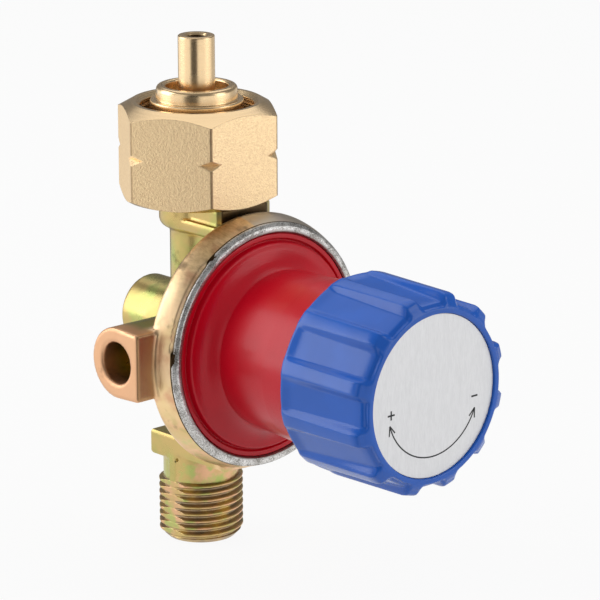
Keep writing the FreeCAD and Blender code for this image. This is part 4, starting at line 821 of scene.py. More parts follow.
    def lamp(self, scene, name, spot, size, watts):
        """Rectangular soft lamp that looks at the object's middle."""
        light = bpy.data.lights.new(name, "AREA")
        light.shape = "RECTANGLE"
        light.size, light.size_y = size
        light.energy = watts
        lamp = bpy.data.objects.new(name, light)
        scene.collection.objects.link(lamp)
        lamp.location = spot
        lamp.rotation_euler = (Vector(LAMP_AIM) - Vector(spot)).to_track_quat("-Z", "Y").to_euler()


# ---- the casting ----

def smooth_union(a, b, k):
    """min(a, b) - k h^2 / 4, with h = max(k - |a - b|, 0) / k: a fillet between two solids."""
    h = np.maximum(k - np.abs(a - b), 0) / k
    return np.minimum(a, b) - h * h * k / 4


def smooth_cut(a, b, k):
    """Solid a without b, with a rounded edge: -smooth_union(-a, b)."""
    return -smooth_union(-a, b, k)


def box_distance(x, y, z, low, high, edge):
    """Signed distance to a box with rounded edges, between two corners: |max(q, 0)| + min(max q, 0)
    - edge, with q = |point - middle| - half size, measured to the box inside the rounding."""
    low, high = np.array(low, float), np.array(high, float)
    middle, half = (low + high) / 2, (high - low) / 2 - edge
    qx, qy, qz = (np.abs(value - middle[k]) - half[k] for k, value in enumerate((x, y, z)))
    outside = np.sqrt(np.maximum(qx, 0) ** 2 + np.maximum(qy, 0) ** 2 + np.maximum(qz, 0) ** 2)
    return outside + np.minimum(np.maximum(np.maximum(qx, qy), qz), 0) - edge


def rod_distance(radial, along, radius, low, high, edge):
    """Signed distance to a capped cylinder with a rounded rim: the box's formula with one q from
    the radius and one from the length."""
    qr = radial - radius + edge
    qa = np.abs(along - (low + high) / 2) - (high - low) / 2 + edge
    outside = np.sqrt(np.maximum(qr, 0) ** 2 + np.maximum(qa, 0) ** 2)
    return outside + np.minimum(np.maximum(qr, qa), 0) - edge


def casting_distance(x, y, z, fillet, edge):
    """Signed distance to the cast body above its thread: forms joined with fillets, then bored."""
    u, up = -y, z - AXIS_HEIGHT
    column = np.hypot(x, y)
    knob = np.hypot(x, up)
    body = rod_distance(column, z, 7.0, 22.0, 82.0, edge)
    block = box_distance(x, u, z, (-PARTING, -8.0, 21.1), (PARTING, 20.0, 27.2), 0.25)
    step = box_distance(x, u, z, (-12.0, SEAM_HALF, NECK_BASE), (12.0, 24.0, 22.4), 0.2)
    body = smooth_union(body, smooth_cut(block, step, 0.3), fillet)
    web = box_distance(x, u, z, (-4.6, 0.0, 24.0), (4.6, 18.5, 83.0), edge)
    body = smooth_union(body, web, fillet)
    hub = rod_distance(knob, u, 14.0, -1.0, 18.5, edge)
    body = smooth_union(body, hub, fillet)
    rear_boss = rod_distance(knob, u, 9.1, -19.4, 2.0, 0.8)
    body = smooth_union(body, rear_boss, fillet)
    body = smooth_union(body, head_distance(x, u, z, column), fillet)
    body = smooth_union(body, port_distance(x, u, up), 1.0)
    body = smooth_union(body, dish_distance(knob, u, x, up), fillet * 0.8)
    neck = rod_distance(column, z, NECK_RADIUS, NECK_BASE, 23.2, 0.3)
    neck = np.maximum(neck, np.minimum(u + 0.2, NECK_TOP - z))
    neck = np.minimum(neck, rod_distance(column, z, NECK_RADIUS, NECK_BASE, NECK_TOP, 0.1))
    body = smooth_union(body, neck, 0.35)
    low, high = (-PARTING, -SEAM_HALF, NECK_BASE), (PARTING, SEAM_HALF, 21.5)
    body = smooth_union(body, box_distance(x, u, z, low, high, 0.12), 0.25)
    return bore_out(body, x, u, z, up, column, knob)


def head_distance(x, u, z, column):
    """Head under the nut: a round collar with a rounded underside, a bar in front, and on it a
    plate whose two front corners are cut by planes."""
    head = np.maximum(rod_distance(column, z, HEAD_RADIUS, HEAD_BASE, HEAD_TOP, 0.4),
                      rod_distance(column, z, HEAD_RADIUS, HEAD_BASE, 92.0, 2.4))
    bar = box_distance(x, u, z, (-8.9, -1.0, HEAD_BASE), (8.9, PLATE_FRONT, 83.2), 0.4)
    under = box_distance(x, u, z, (-8.9, -9.0, HEAD_BASE), (8.9, 25.0, 89.0), 2.2)
    head = smooth_union(head, np.maximum(bar, under), 0.5)
    plate = box_distance(x, u, z, (-7.6, -1.0, 81.0), (9.4, PLATE_FRONT, HEAD_TOP), 0.3)
    corner = (-(x + 7.6) + (u - PLATE_FRONT) + 1.1) / math.sqrt(2)
    facet = ((x - 7.4) * 0.6 + (u - PLATE_FRONT) * 2.0) / math.hypot(0.6, 2.0)
    plate = np.maximum(np.maximum(plate, corner), facet)
    return smooth_union(head, plate, 0.4)


def port_distance(x, u, up):
    """Side boss: round behind, flat in front, its sides tangent to the round."""
    across = u - PORT_REACH
    corner = math.atan2(PORT_HALF, PORT_FRONT)
    tangent = corner + math.acos(PORT_RADIUS / math.hypot(PORT_HALF, PORT_FRONT))
    normal = (math.cos(tangent), math.sin(tangent))
    slope = across * normal[0] + np.abs(up) * normal[1] - PORT_RADIUS
    ahead = across - PORT_FRONT
    side = np.abs(up) - PORT_HALF
    beyond = across * normal[1] - np.abs(up) * normal[0]
    flat = np.maximum(np.maximum(slope, ahead), side)
    shape = np.where(beyond > 0, flat, np.hypot(across, up) - PORT_RADIUS)
    shape = np.where((beyond > 0) & (flat > -2), smooth_cut(slope, -ahead, 0.9), shape)
    ends = np.maximum(-PORT_END - x, x + 2.0)
    return smooth_cut(shape, -ends, 0.7)


def dish_distance(knob, u, x, up):
    """Dish: flat back, side rounded towards the crease, and the seat under the rolled lip, with
    an open seam along a part of it."""
    back = 17.4 - u
    side = knob - RIM_RADIUS
    slope = ((knob - LIP_SEAT) * 3.0 + (u - 25.0) * 1.65) / math.hypot(3.0, 1.65)
    front = u - 25.35
    shape = smooth_cut(side, -slope, 2.2)
    shape = smooth_cut(shape, -back, 2.4)
    shape = np.maximum(shape, front)
    angle = np.degrees(np.arctan2(up, x)) % 360
    open_seam = np.clip((angle - 124) / 6, 0, 1) * np.clip((176 - angle) / 5, 0, 1)
    groove = np.hypot(knob - LIP_SEAT, u - 24.95) - 0.72 * open_seam
    return np.maximum(shape, -groove)


def bore_out(body, x, u, z, up, column, knob):
    """Takes out the chamber, valve bore, passages, side bore with its countersink and drill point,
    outlet passage and a small casting pit: max(body, -hollow) for each."""
    chamber = rod_distance(knob, u, 26.0, 19.4, 40.0, 0.4)
    recess = rod_distance(knob, u, 29.1, 22.7, 40.0, 0.1)
    valve = rod_distance(knob, u, 5.2, -14.0, 20.0, 0.1)
    seat = rod_distance(knob, u, 7.02, 2.9, 20.0, 0.1)
    mouth = rod_distance(knob, u, 9.6, 15.5, 22.0, 0.1)
    side = np.hypot(u - PORT_REACH, up)
    hole = rod_distance(side, x, PORT_BORE, -60.0, -25.0, 0.1)
    sink = (side + (x + PORT_END - 0.5) - PORT_BORE) / math.sqrt(2)
    hole = np.minimum(hole, np.maximum(sink, x + 36.0))
    tip = np.maximum(side * 0.857 + (x + 25.0) * 0.515 - PORT_BORE * 0.857, -25.2 - x)
    hole = np.minimum(hole, tip)
    shank = rod_distance(column, z, 5.02, 77.7, 95.0, 0.1)
    gasket = rod_distance(column, z, 6.7, 85.9, 95.0, 0.05)
    inlet = rod_distance(column, z, 2.4, 56.0, 80.0, 0.1)
    riser = rod_distance(column, z, 4.5, 5.0, 35.4, 0.1)
    outlet = rod_distance(column, z, OUTLET_BORE, 5.0, 17.0, 0.1)
    pit = np.sqrt((x + 9.2) ** 2 + (u - 1.5) ** 2 + (z - 21.2) ** 2) - 0.55
    for hollow in (chamber, recess, valve, seat, mouth, hole,
                   shank, gasket, inlet, riser, outlet, pit):
        body = np.maximum(body, -hollow)
    return body


def net_skin(field, low, step):
    """Surface net of a sampled distance: each cell that the zero level crosses holds one point,
    the mean of the crossings on its twelve edges, and each crossed grid edge gets one quad
    through the four cells round it."""
    inside = field < 0
    cells = tuple(n - 1 for n in field.shape)
    count = np.zeros(cells, np.float32)
    total = [np.zeros(cells, np.float32) for _ in range(3)]
    crossed = []
    for axis in range(3):
        first = [slice(None)] * 3
        second = [slice(None)] * 3
        first[axis], second[axis] = slice(None, -1), slice(1, None)
        f0, f1 = field[tuple(first)], field[tuple(second)]
        cross = inside[tuple(first)] != inside[tuple(second)]
        share = np.where(cross, f0 / np.where(cross, f0 - f1, 1), 0).astype(np.float32)
        crossed.append((cross, inside[tuple(first)]))
        others = [k for k in range(3) if k != axis]
        for da in (0, 1):
            for db in (0, 1):
                window = [slice(None)] * 3
                window[others[0]] = slice(da, da + cells[others[0]])
                window[others[1]] = slice(db, db + cells[others[1]])
                mark = cross[tuple(window)]
                count += mark
                total[axis] += share[tuple(window)]
                total[others[0]] += mark * da
                total[others[1]] += mark * db
    active = count > 0
    index = np.full(cells, -1, np.int64)
    index[active] = np.arange(active.sum())
    corner = np.argwhere(active)
    middle = np.stack([t[active] / count[active] for t in total], -1)
    points = (corner + middle) * step + np.array(low)
    quads = []
    for axis in range(3):
        cross, start_inside = crossed[axis]
        a, b = [k for k in range(3) if k != axis]
        spots = np.argwhere(cross)
        low_edge = (spots[:, a] > 0) & (spots[:, b] > 0)
        high_edge = (spots[:, a] < cells[a]) & (spots[:, b] < cells[b])
        spots = spots[low_edge & high_edge]
        around = []
        for da, db in ((-1, -1), (0, -1), (0, 0), (-1, 0)):
            cell = spots.copy()
            cell[:, a] += da
            cell[:, b] += db
            around.append(index[tuple(cell.T)])
        quad = np.stack(around, -1)
        flip = start_inside[tuple(spots.T)]
        if axis == 1:
            flip = ~flip
        quad[~flip] = quad[~flip][:, ::-1]
        quads.append(quad)
    return points, np.concatenate(quads)


def settle(points, distance, reach):
    """Moves each point down the distance's gradient onto the zero level, by at most reach."""
    h = 0.05
    for _ in range(2):
        x, y, z = points.T
        f = distance(x, y, z)
        g = np.stack([distance(x + h, y, z) - distance(x - h, y, z),
                      distance(x, y + h, z) - distance(x, y - h, z),
                      distance(x, y, z + h) - distance(x, y, z - h)], -1) / (2 * h)
        g /= np.maximum((g ** 2).sum(1, keepdims=True), 0.2)
        points = points - np.clip(f[:, None] * g, -reach, reach)
    return points


def outlet_thread_points():
    """Thread as r(a, z): a V groove of one pitch that climbs with the angle a, cut flat by the
    parting at X = +-9.5, min(r, 9.5 / |cos a|), filled to X = +-9.47 along the seam where
    |Y| < 1.15, and chamfered at its foot; then the end faces and the bore."""
    columns = 320
    a = np.arange(columns) * TAU / columns
    z = np.linspace(0.0, THREAD_TOP, 190)[:, None]
    phase = (z / THREAD_PITCH - a / TAU + 0.37) % 1.0
    away = np.abs(phase - 0.5) * 2
    crest = np.clip((away - 0.19) / 0.62, 0, 1)
    crest = crest * crest * (3 - 2 * crest) * 0.35 + crest * 0.65
    r = THREAD_ROOT + THREAD_DEPTH * crest
    level = 1 / np.maximum(np.abs(np.cos(a)), 0.05)
    seam = np.clip((1.3 - np.abs(PARTING * np.tan(a))) / 0.3, 0, 1) * np.clip((z - 1.5) / 2, 0, 1)
    r = np.minimum(r, PARTING * level)
    r = np.maximum(r, seam * 9.47 * level)
    r = np.minimum(r, 8.6 + z * (1.8775 / 1.9))
    rows = [on_column(z, r * np.cos(a), r * np.sin(a))]
    for height, radius in ((THREAD_TOP, 9.0), (THREAD_TOP, OUTLET_BORE), (14.0, OUTLET_BORE),
                           (8.0, OUTLET_BORE), (0.45, OUTLET_BORE), (0.0, OUTLET_MOUTH),
                           (0.0, (r[0] + OUTLET_MOUTH) / 2)):
        rows.append(on_column(height, radius * np.cos(a), radius * np.sin(a))[None])
    points = np.concatenate(rows)
    return points, ring_faces(len(points), columns)


def lip_points():
    """Rolled lip: a rounded outline carried round the knob's axis, its radius and reach wavering
    by a sum of sines of the angle, as metal does under a rolling tool."""
    outline = [(24.55, 30.28, 0.2), (25.12, 30.16, 0.25), (25.85, 29.42, 0.4), (26.02, 28.9, 0.5),
               (25.96, 28.1, 0.3), (25.5, 27.8, 0.15), (24.95, 27.8, 0.05), (24.6, 28.6, 0.2)]
    profile = rounded(outline, 6, 0.2)
    reach, radius = profile[:, :1], profile[:, 1:2]
    columns = 420
    a = np.arange(columns) * TAU / columns
    random = np.random.default_rng(7)
    waver = np.zeros((2, columns))
    for count in (3, 5, 9, 14, 22, 37, 55, 71):
        size = 0.05 / (1 + count / 9)
        height = size * random.normal(size=(2, 1))
        waver += height * np.sin(count * a + random.uniform(0, TAU, (2, 1)))
    front = np.clip((reach - 24.7) / 1.3, 0, 1)
    inner = np.clip((30.3 - radius) / 2.0, 0, 1)
    outer = np.clip((radius - 28.9) / 0.6, 0, 1)
    angle = np.degrees(a)
    open_seam = np.clip((angle - 122) / 8, 0, 1) * np.clip((180 - angle) / 8, 0, 1)
    along = reach + np.clip(waver[0], -0.06, 0.02) * front
    across = radius + waver[1] * front * (1 - inner) * 0.8 - 0.5 * open_seam * outer
    return on_knob(along, across * np.cos(a), across * np.sin(a)), ring_faces(len(profile), columns)


class REGULATOR_OT_casting(bpy.types.Operator):
    """Cast body with its fillets, its threaded outlet and its rolled lip"""
    bl_idname = "regulator.casting"
    bl_label = "Casting"

    def execute(self, context):
        sizes = context.scene.regulator_casting
        step = sizes.grid
        low, high = np.array((-38.0, -27.0, 14.4)), np.array((33.0, 20.6, 88.0))
        axes = [np.arange(low[k], high[k] + step, step) for k in range(3)]

        def distance(x, y, z):
            """The casting's distance at the panel's fillet and edge."""
            return casting_distance(x, y, z, sizes.fillet, sizes.edge)

        field = distance(*np.meshgrid(*axes, indexing="ij", sparse=True))
        points, quads = net_skin(field, low, step)
        skin = settle(points, distance, step * 0.45), quads
        for name, shell, finish, crease in (
                ("cast_body", skin, plated_finish(sizes), 50.0),
                ("outlet_thread", outlet_thread_points(), thread_finish(sizes), 40.0),
                ("rolled_lip", lip_points(), lip_finish(sizes), 50.0)):
            piece(name, *shell, "housing", ["body_casting"], finish, crease, "plated_casting")
        return {"FINISHED"}


# ---- the bonnet ----

class REGULATOR_OT_bonnet(bpy.types.Operator):
    """Pressed bonnet: flange, groove, concave shoulder and neck, turned about the knob's axis"""
    bl_idname = "regulator.bonnet"
    bl_label = "Bonnet"

    def execute(self, context):
        sizes = context.scene.regulator_bonnet
        e, neck = sizes.edge, sizes.neck_radius
        wall = 1.6
        t = np.radians(np.linspace(2.0, 64.0, 12))
        bend = [(32.5 - 6.0 * math.cos(v), 25.0 - 6.0 * math.sin(v)) for v in t]
        under = [(31.9 - 7.0 * math.cos(v), 25.0 - 7.0 * math.sin(v)) for v in t[::-1]]
        flange = [(23.9, 29.0), (24.9, 29.0), (24.9, 27.6, 0.1), (25.5, 27.6, e),
                  (25.5, 26.45, e * 0.8), (24.8, 26.1, 0.25), (24.8, 25.75, 0.25),
                  (26.35, 25.45, e), (26.5, 25.0, e * 1.2)]
        sleeve = [(30.0, 19.5, 0.3), (46.0, neck, 1.5), (61.5, neck, 0.1), (63.2, neck - 0.7, 0.8),
                  (64.0, neck - 2.5, 0.5), (64.0, 8.1), (61.5, 8.1), (61.5, neck - wall),
                  (46.0, neck - wall), (31.9, 18.0)]
        profile = rounded(flange + bend + sleeve + under + [(24.0, 25.6, 0.3)], 5, 0.3)
        columns = 288
        points, faces = lathe(profile, on_knob, columns), ring_faces(len(profile), columns)
        enamel = enamel_finish(sizes)
        piece("red_bonnet", points, faces, "housing", ["bonnet"], enamel, 60.0, "red_enamel")
        return {"FINISHED"}


# ---- the knob ----

def knob_points(sizes):
    """Grip as R(u, a) = root(u) (1 + c(a)) + w(u) H(u) h(a). The ribs' height H grows to the front
    as the root falls, c = 1 / cos - 1 makes flat panels between the ribs, and w rounds the ribs'
    ends. With v = (half rib - |a|) / flank held between 0 and 1, h = 0.6 v + 0.4 v^2 (3 - 2 v) is
    one rib with steep rounded flanks."""
    columns = sizes.ribs * 56
    a = np.arange(columns) * TAU / columns
    pitch = 360.0 / sizes.ribs
    away = (np.degrees(a) - sizes.phase + pitch / 2) % pitch - pitch / 2
    v = np.clip((sizes.half_rib - np.abs(away)) / sizes.flank, 0, 1)
    h = 0.6 * v + 0.4 * v * v * (3 - 2 * v)
    chord = 1 / np.cos(np.radians(np.minimum(pitch / 2 - np.abs(away), 7.7))) - 1

    def rib_height(u):
        """0.9 at the grip's rear, and 0.0435 more for each millimetre forwards."""
        return 0.9 + (u - GRIP_REAR) * 0.0435

    def root(u):
        """23.55 at the grip's rear, and 0.060 less for each millimetre forwards."""
        return 23.55 - (u - GRIP_REAR) * 0.060

    def smooth(outline):
        """Rows without ribs."""
        return [(u, r, 0.0) for u, r in outline]

    face = smooth([(82.3, 5.2), (82.3, 12.0), (82.3, 19.3), (82.3, 19.55), (82.36, 19.62),
                   (82.5, 19.65), (83.0, 19.65), (83.18, 19.68), (83.27, 19.78), (83.3, 19.95),
                   (83.3, 20.3), (83.3, 20.7)])
    front = [(83.28, 20.88, 0.02), (83.2, 21.00, 0.10), (83.06, 21.06, 0.24), (82.9, 21.09, 0.38),
             (82.7, 21.11, 0.52), (82.5, 21.14, 0.63), (82.35, 21.25, 0.70), (82.2, 21.45, 0.76),
             (82.05, 21.62, 0.81), (81.85, 21.78, 0.86), (81.6, 21.89, 0.90), (81.2, 21.98, 0.95),
             (80.7, 22.06, 0.98)]
    grip = [(u, root(u), 1.0) for u in np.linspace(80.0, 60.0, 21)]
    rear = [(59.5, 23.42, 0.98), (59.0, 23.50, 0.94), (58.5, 23.61, 0.87), (58.0, 23.74, 0.77),
            (57.6, 23.86, 0.66), (57.2, 23.98, 0.54), (56.9, 24.04, 0.45), (56.7, 24.03, 0.38),
            (56.5, 23.95, 0.30), (56.35, 23.83, 0.22), (56.25, 23.65, 0.14), (56.2, 23.4, 0.05)]
    inside = smooth([(56.2, 22.2), (56.2, 21.62), (56.3, 21.52), (56.6, 21.5), (66.0, 21.25),
                     (77.4, 20.92), (77.9, 20.8), (78.15, 20.5), (78.2, 20.1), (78.2, 9.0),
                     (78.1, 8.4), (77.7, 8.05), (77.0, 8.0), (74.05, 8.0), (74.0, 7.9),
                     (74.0, 4.1), (74.1, 4.02), (79.95, 4.02), (80.0, 4.1), (80.0, 5.1),
                     (80.1, 5.1), (82.2, 5.1)])
    rows = np.array(face + front + grip + rear + inside)
    along, radius, share = rows[:, :1], rows[:, 1:2], rows[:, 2:3]
    rib = rib_height(np.maximum(along, GRIP_REAR))
    r = radius * (1 + share * chord) + share * rib * h
    return on_knob(along, r * np.cos(a), r * np.sin(a)), ring_faces(len(rows), columns)


def ribbon(centre, width, low, high):
    """Flat printed line: a strip of a width along a run of (x, up) points, between two reaches.
    The strip's sides are centre +- width / 2 times the run's normal."""
    along = np.gradient(centre, axis=0)
    along /= np.linalg.norm(along, axis=1, keepdims=True)
    normal = np.stack([-along[:, 1], along[:, 0]], -1) * width / 2
    corners = ((centre + normal, low), (centre + normal, high),
               (centre - normal, high), (centre - normal, low))
    points = np.stack([on_knob(reach, side[:, 0], side[:, 1]) for side, reach in corners], 1)
    last = 4 * len(centre) - 1
    caps = np.array([[3, 2, 1, 0], [last - 3, last - 2, last - 1, last]])
    faces = np.concatenate([ring_faces(len(centre), 4, closed=False), caps])
    return points.reshape(-1, 3), faces


def join(parts):
    """One array of points and one of faces from several such pairs."""
    points, faces, base = [], [], 0
    for p, f in parts:
        points.append(p.reshape(-1, 3))
        faces.append(f + base)
        base += len(points[-1])
    return np.concatenate(points), np.concatenate(faces)


def line_run(x0, up0, x1, up1):
    """Straight run of (x, up) points between two ends."""
    return np.array([[x0, up0], [x1, up1]])


class REGULATOR_OT_knob(bpy.types.Operator):
    """Ribbed adjusting knob with its label and the printed turning marks"""
    bl_idname = "regulator.knob"
    bl_label = "Knob"

    def execute(self, context):
        sizes = context.scene.regulator_knob
        grip = knob_points(sizes)
        piece("ribbed_knob", *grip, "adjuster", ["knob"], knob_finish(sizes), 66.0, "blue_plastic")
        refinish("label_disc", label_finish(sizes))
        ink = ink_finish(sizes)
        sign = sizes.line * 1.25
        plus = join([ribbon(line_run(-14.6, -1.9, -12.4, -1.9), sign, INK_LOW, INK_HIGH),
                     ribbon(line_run(-13.5, -3.0, -13.5, -0.8), sign, INK_LOW, INK_HIGH + 0.004)])
        minus = ribbon(line_run(12.4, -2.7, 14.4, -2.7), sign, INK_LOW, INK_HIGH)
        for name, mark in (("turning_arrow", self.arrow(sizes.arrow_radius, sizes.line)),
                           ("plus_mark", plus), ("minus_mark", minus)):
            piece(name, *mark, "adjuster", None, ink, 40.0, "label_alloy")
        return {"FINISHED"}

    def arrow(self, radius, line):
        """Arc radius (cos t, sin t) with two barbs at each end: each barb's tail lies behind the
        tip and to one side of it."""
        start, stop = math.radians(199), math.radians(336)
        t = np.linspace(start, stop, 60)
        arc = np.stack([radius * np.cos(t), radius * np.sin(t)], -1)
        parts = [ribbon(arc, line, INK_LOW, INK_HIGH)]
        for angle, way in ((start, -1), (stop, 1)):
            tip = np.array([radius * math.cos(angle), radius * math.sin(angle)])
            ahead = np.array([-math.sin(angle), math.cos(angle)]) * way
            out = np.array([math.cos(angle), math.sin(angle)])
            tip = tip + ahead * 0.4
            for side in (-1, 1):
                tail = tip - ahead * 2.3 + out * 0.95 * side
                parts.append(ribbon(line_run(*tail, *tip), line, INK_LOW, INK_HIGH))
        return join(parts)


# ---- union nut and inlet nipple ----

def nut_points(soft):
    """Nut as r(a, s). The hexagon is R(a) = flat / smooth max(cos b, cos(60 - |b|)), b the angle
    from a flat's middle; cones of 30 degrees cut its corners and a V groove notches them."""
    sector = np.linspace(-1, 1, 56, endpoint=False)
    b = math.radians(30) * (1.5 * sector - 0.5 * sector ** 3)
    one, two = np.cos(b), np.cos(math.radians(60) - np.abs(b))
    h = np.maximum(soft - np.abs(one - two), 0) / soft
    hexagon = np.tile(NUT_FLAT / (np.maximum(one, two) + h * h * soft / 4), 6)
    start = math.radians(NUT_TURN + 30)
    a = np.concatenate([start + math.radians(60) * k + b for k in range(6)])
    columns = len(a)
    bottom_end = NUT_LOW + (hexagon - NUT_FLAT) * CONE
    top_start = NUT_HIGH - (hexagon - NUT_FACE) * CONE
    notch, notch_half, notch_radius = NUT_LOW + 11.9, 1.5, 19.4
    rows = []

    def row(z, r):
        """Adds a ring of the grid, its height and radius each one value or one for each column."""
        z, r = np.broadcast_to(z, columns), np.broadcast_to(r, columns)
        rows.append(np.stack([z, r], -1))

    for s in (0.0, 0.03, 0.3, 0.6, 0.9, 1.0):
        row(NUT_LOW, NUT_BORE + (NUT_FLAT - 0.12 - NUT_BORE) * s)
    for s in (0.03, 0.2, 0.5, 0.8, 0.97):
        row(NUT_LOW + (hexagon - NUT_FLAT) * CONE * s + 0.02, NUT_FLAT + (hexagon - NUT_FLAT) * s)
    for s in (0.0, 0.02, 0.12, 0.4, 0.7, 0.95, 1.0):
        row(bottom_end * (1 - s) + (notch - notch_half) * s, hexagon)
    for dz in np.linspace(-1.4, 1.4, 15):
        row(notch + dz, np.minimum(hexagon, notch_radius + np.abs(dz) * 0.989))
    for s in (0.0, 0.05, 0.3, 0.6, 0.88, 0.98, 1.0):
        row((notch + notch_half) * (1 - s) + top_start * s, hexagon)
    for s in (0.03, 0.15, 0.4, 0.7, 0.92, 0.985, 1.0):
        row(top_start * (1 - s) + NUT_HIGH * s, hexagon * (1 - s) + NUT_FACE * s)
    for z, r in ((NUT_HIGH, 15.95), (NUT_HIGH, 15.5), (NUT_HIGH, 15.05), (NUT_HIGH - 0.04, 14.92),
                 (109.95, 13.95)):
        row(z, r)
    for turn in range(6, -1, -1):
        foot = NUT_THREAD_LOW + NUT_PITCH * turn
        for share, r in ((0.97, 13.93), (0.74, 14.83), (0.70, NUT_ROOT), (0.60, NUT_ROOT),
                         (0.56, 14.83), (0.32, 13.93), (0.28, NUT_CREST), (0.02, NUT_CREST)):
            row(foot + NUT_PITCH * share, r)
    for z, r in ((NUT_THREAD_LOW, 13.95), (95.88, 14.8), (95.8, NUT_ROOT), (92.6, NUT_ROOT),
                 (92.42, 14.8), (92.4, 14.6), (92.4, 8.5), (92.3, 8.32), (92.1, NUT_BORE),
                 (87.2, NUT_BORE)):
        row(z, r)
    grid = np.stack(rows)
    points = on_column(grid[..., 0], grid[..., 1] * np.cos(a), grid[..., 1] * np.sin(a))
    return points, ring_faces(len(rows), columns)


class REGULATOR_OT_fittings(bpy.types.Operator):
    """Union nut and the turned inlet nipple"""
    bl_idname = "regulator.fittings"
    bl_label = "Union nut and nipple"

    def execute(self, context):
        sizes = context.scene.regulator_fitting
        nut, blasted = nut_points(sizes.corner), nut_finish(sizes)
        piece("union_nut_shell", *nut, "nut", ["union_nut"], blasted, 24.0, "blasted_brass")
        outline = [(78.0, 3.05), (78.0, 4.4), (78.6, 5.0), (87.02, 5.0), (87.02, 8.0), (106.9, 8.0),
                   (106.9, 11.4, 0.3), (111.4, 11.4, 0.45), (111.4, 10.02, 0.15), (114.8, 9.9, 1.2),
                   (114.8, 7.7, 0.6), (111.0, 7.7, 0.5), (111.0, 4.5, 0.4), (127.0, 4.5, 0.35),
                   (127.0, 2.95, 0.08), (126.5, 2.5, 0.1), (122.5, 2.5, 0.1), (122.3, 2.3, 0.1),
                   (83.0, 2.3), (83.0, 3.05)]
        profile = rounded(outline, 7, 0.3)
        columns = 200
        points, faces = lathe(profile, on_column, columns), ring_faces(len(profile), columns)
        brass = turned_finish("turned brass", sizes.brass_bright, sizes.brass_dark, 0.17,
                              bore=0.00251)
        nipple = ["inlet_nipple"]
        piece("turned_nipple", points, faces, "housing", nipple, brass, 55.0, "bright_brass")
        return {"FINISHED"}


# ---- pieces inside ----

STEEL, STEEL_DARK = (0.66, 0.66, 0.68), (0.5, 0.5, 0.52)
INNER_BRASS, INNER_BRASS_DARK = (0.84, 0.64, 0.34), (0.66, 0.48, 0.24)
# Colour, dark colour, metallic, roughness, scale of the grain and its depth in metres
PLAIN_FINISHES = {
    "spring wire": ((0.40, 0.40, 0.42), (0.24, 0.24, 0.26), 1.0, 0.28, 2200.0, 0.00001),
    "seal rubber": ((0.030, 0.030, 0.032), (0.015, 0.015, 0.016), 0.0, 0.55, 2600.0, 0.00002),
    "gasket fibre": ((0.45, 0.12, 0.08), (0.30, 0.08, 0.05), 0.0, 0.7, 1800.0, 0.00004),
    "sintered bronze": ((0.52, 0.38, 0.22), (0.26, 0.18, 0.10), 1.0, 0.45, 4200.0, 0.00012),
    "pressed alloy": ((0.72, 0.72, 0.74), (0.58, 0.58, 0.60), 1.0, 0.3, 1500.0, 0.00001),
}
INNER_PIECES = {
    "sintered bronze": ("inlet_filter",),
    "gasket fibre": ("nipple_gasket", "seat_gasket"),
    "washer steel": ("nut_slip_washer",),
    "inner brass": ("seat_insert", "poppet", "screw_bush"),
    "seal rubber": ("poppet_pad", "diaphragm"),
    "spring wire": ("poppet_spring", "main_spring"),
    "pressed alloy": ("diaphragm_lower_plate", "diaphragm_upper_plate", "spring_button"),
    "turned steel": ("push_pin", "diaphragm_stud", "diaphragm_washer", "diaphragm_nut",
                     "thrust_ball", "adjusting_screw", "knob_washer", "knob_screw"),
}
# Piece, node, (back, front, wire, radius, turns), moving body, and the reaches in millimetres that
# stay with the housing and move with the body
COILS = (
    ("main_coil", "main_spring", (27.2, 49.68, 3.0, 11.6, 4.75), "spring_seat", 22.7, 54.2),
    ("poppet_coil", "poppet_spring", (-13.3, -5.7, 0.8, 3.6, 5), "valve_plug", -14.0, -5.0),
)


def coil_points(back, front, wire, radius, turns):
    """Open coil as a tube round C(s) = (back + (front - back) s, R cos a, R sin a) with
    a = 2 pi turns s: P(s, t) = C + wire / 2 (cos t N + sin t B), where N points out from the axis
    and B = T x N. A point closes each end."""
    steps, sides = 40, 20
    s = np.linspace(0, 1, int(steps * turns) + 1)
    s = np.concatenate([s[:1], s, s[-1:]])
    size = np.full(len(s), wire / 2)
    size[0] = size[-1] = 0.0
    a = TAU * turns * s
    out = np.stack([0 * a, np.cos(a), np.sin(a)], -1)
    rise = np.full(len(s), (front - back) / (TAU * turns))
    heading = np.stack([rise, -radius * np.sin(a), radius * np.cos(a)], -1)
    heading /= np.linalg.norm(heading, axis=1)[:, None]
    side = np.cross(heading, out)
    t = (np.arange(sides) * TAU / sides)[None, :, None]
    centre = radius * out
    centre[:, 0] = back + (front - back) * s
    section = np.cos(t) * out[:, None] + np.sin(t) * side[:, None]
    p = centre[:, None] + size[:, None, None] * section
    return on_knob(p[..., 0], p[..., 1], p[..., 2]), ring_faces(len(s), sides, closed=False)


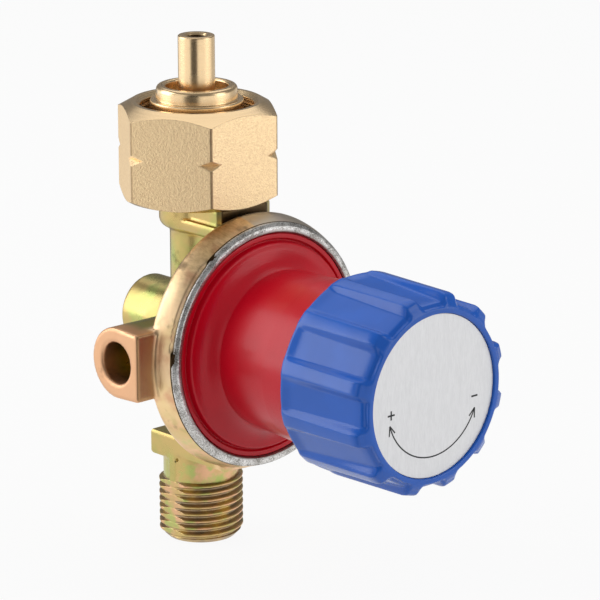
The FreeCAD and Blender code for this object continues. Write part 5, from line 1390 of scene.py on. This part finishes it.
class REGULATOR_OT_inner_pieces(bpy.types.Operator):
    """Finishes of the pieces inside, and two springs"""
    bl_idname = "regulator.inner_pieces"
    bl_label = "Inner pieces"

    def execute(self, context):
        finishes = {
            "turned steel": turned_finish("turned steel", STEEL, STEEL_DARK, 0.2, "knob"),
            "inner brass": turned_finish("inner brass", INNER_BRASS, INNER_BRASS_DARK, 0.2, "knob"),
            "washer steel": turned_finish("washer steel", STEEL, STEEL_DARK, 0.24),
        }
        for name, look in PLAIN_FINISHES.items():
            finishes[name] = plain_finish(name, *look)
        for name, node, shape, body, still, moving in COILS:
            coil = piece(name, *coil_points(*shape), None, [node], finishes["spring wire"])
            ends = on_knob(np.array([still, moving]), np.zeros(2), np.zeros(2)) * MM
            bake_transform(coil)
        for finish, nodes in INNER_PIECES.items():
            for node in nodes:
                refinish(node, finishes[finish])
        return {"FINISHED"}


class REGULATOR_PT_panel(bpy.types.Panel):
    """Lists the makers of the regulator's pieces"""
    bl_label = "Regulator"
    bl_idname = "REGULATOR_PT_panel"
    bl_space_type = "VIEW_3D"
    bl_region_type = "UI"
    bl_category = "Regulator"

    def draw(self, context):
        for operator in OPERATORS:
            self.layout.operator(operator.bl_idname)


OPERATORS = (REGULATOR_OT_stage, REGULATOR_OT_casting, REGULATOR_OT_bonnet, REGULATOR_OT_knob,
             REGULATOR_OT_fittings, REGULATOR_OT_inner_pieces)
SETTINGS = {"regulator_casting": CastingSettings, "regulator_bonnet": BonnetSettings,
            "regulator_knob": KnobSettings, "regulator_fitting": FittingSettings,
            "regulator_studio": StudioSettings}


def register():
    """Registers the classes, and puts the sizes on the scene."""
    for kind in (*SETTINGS.values(), *OPERATORS, REGULATOR_PT_panel):
        bpy.utils.register_class(kind)
    for name, kind in SETTINGS.items():
        setattr(bpy.types.Scene, name, bpy.props.PointerProperty(type=kind))


def unregister():
    """Takes the sizes off the scene again, and the classes out."""
    for name in SETTINGS:
        delattr(bpy.types.Scene, name)
    for kind in reversed((*SETTINGS.values(), *OPERATORS, REGULATOR_PT_panel)):
        bpy.utils.unregister_class(kind)


def main():
    """Makes the stage and every piece."""
    register()
    build_groups()
    for operator in (bpy.ops.regulator.stage, bpy.ops.regulator.casting,
                     bpy.ops.regulator.bonnet, bpy.ops.regulator.knob,
                     bpy.ops.regulator.fittings, bpy.ops.regulator.inner_pieces):
        operator()


if __name__ == "__main__":
    main()
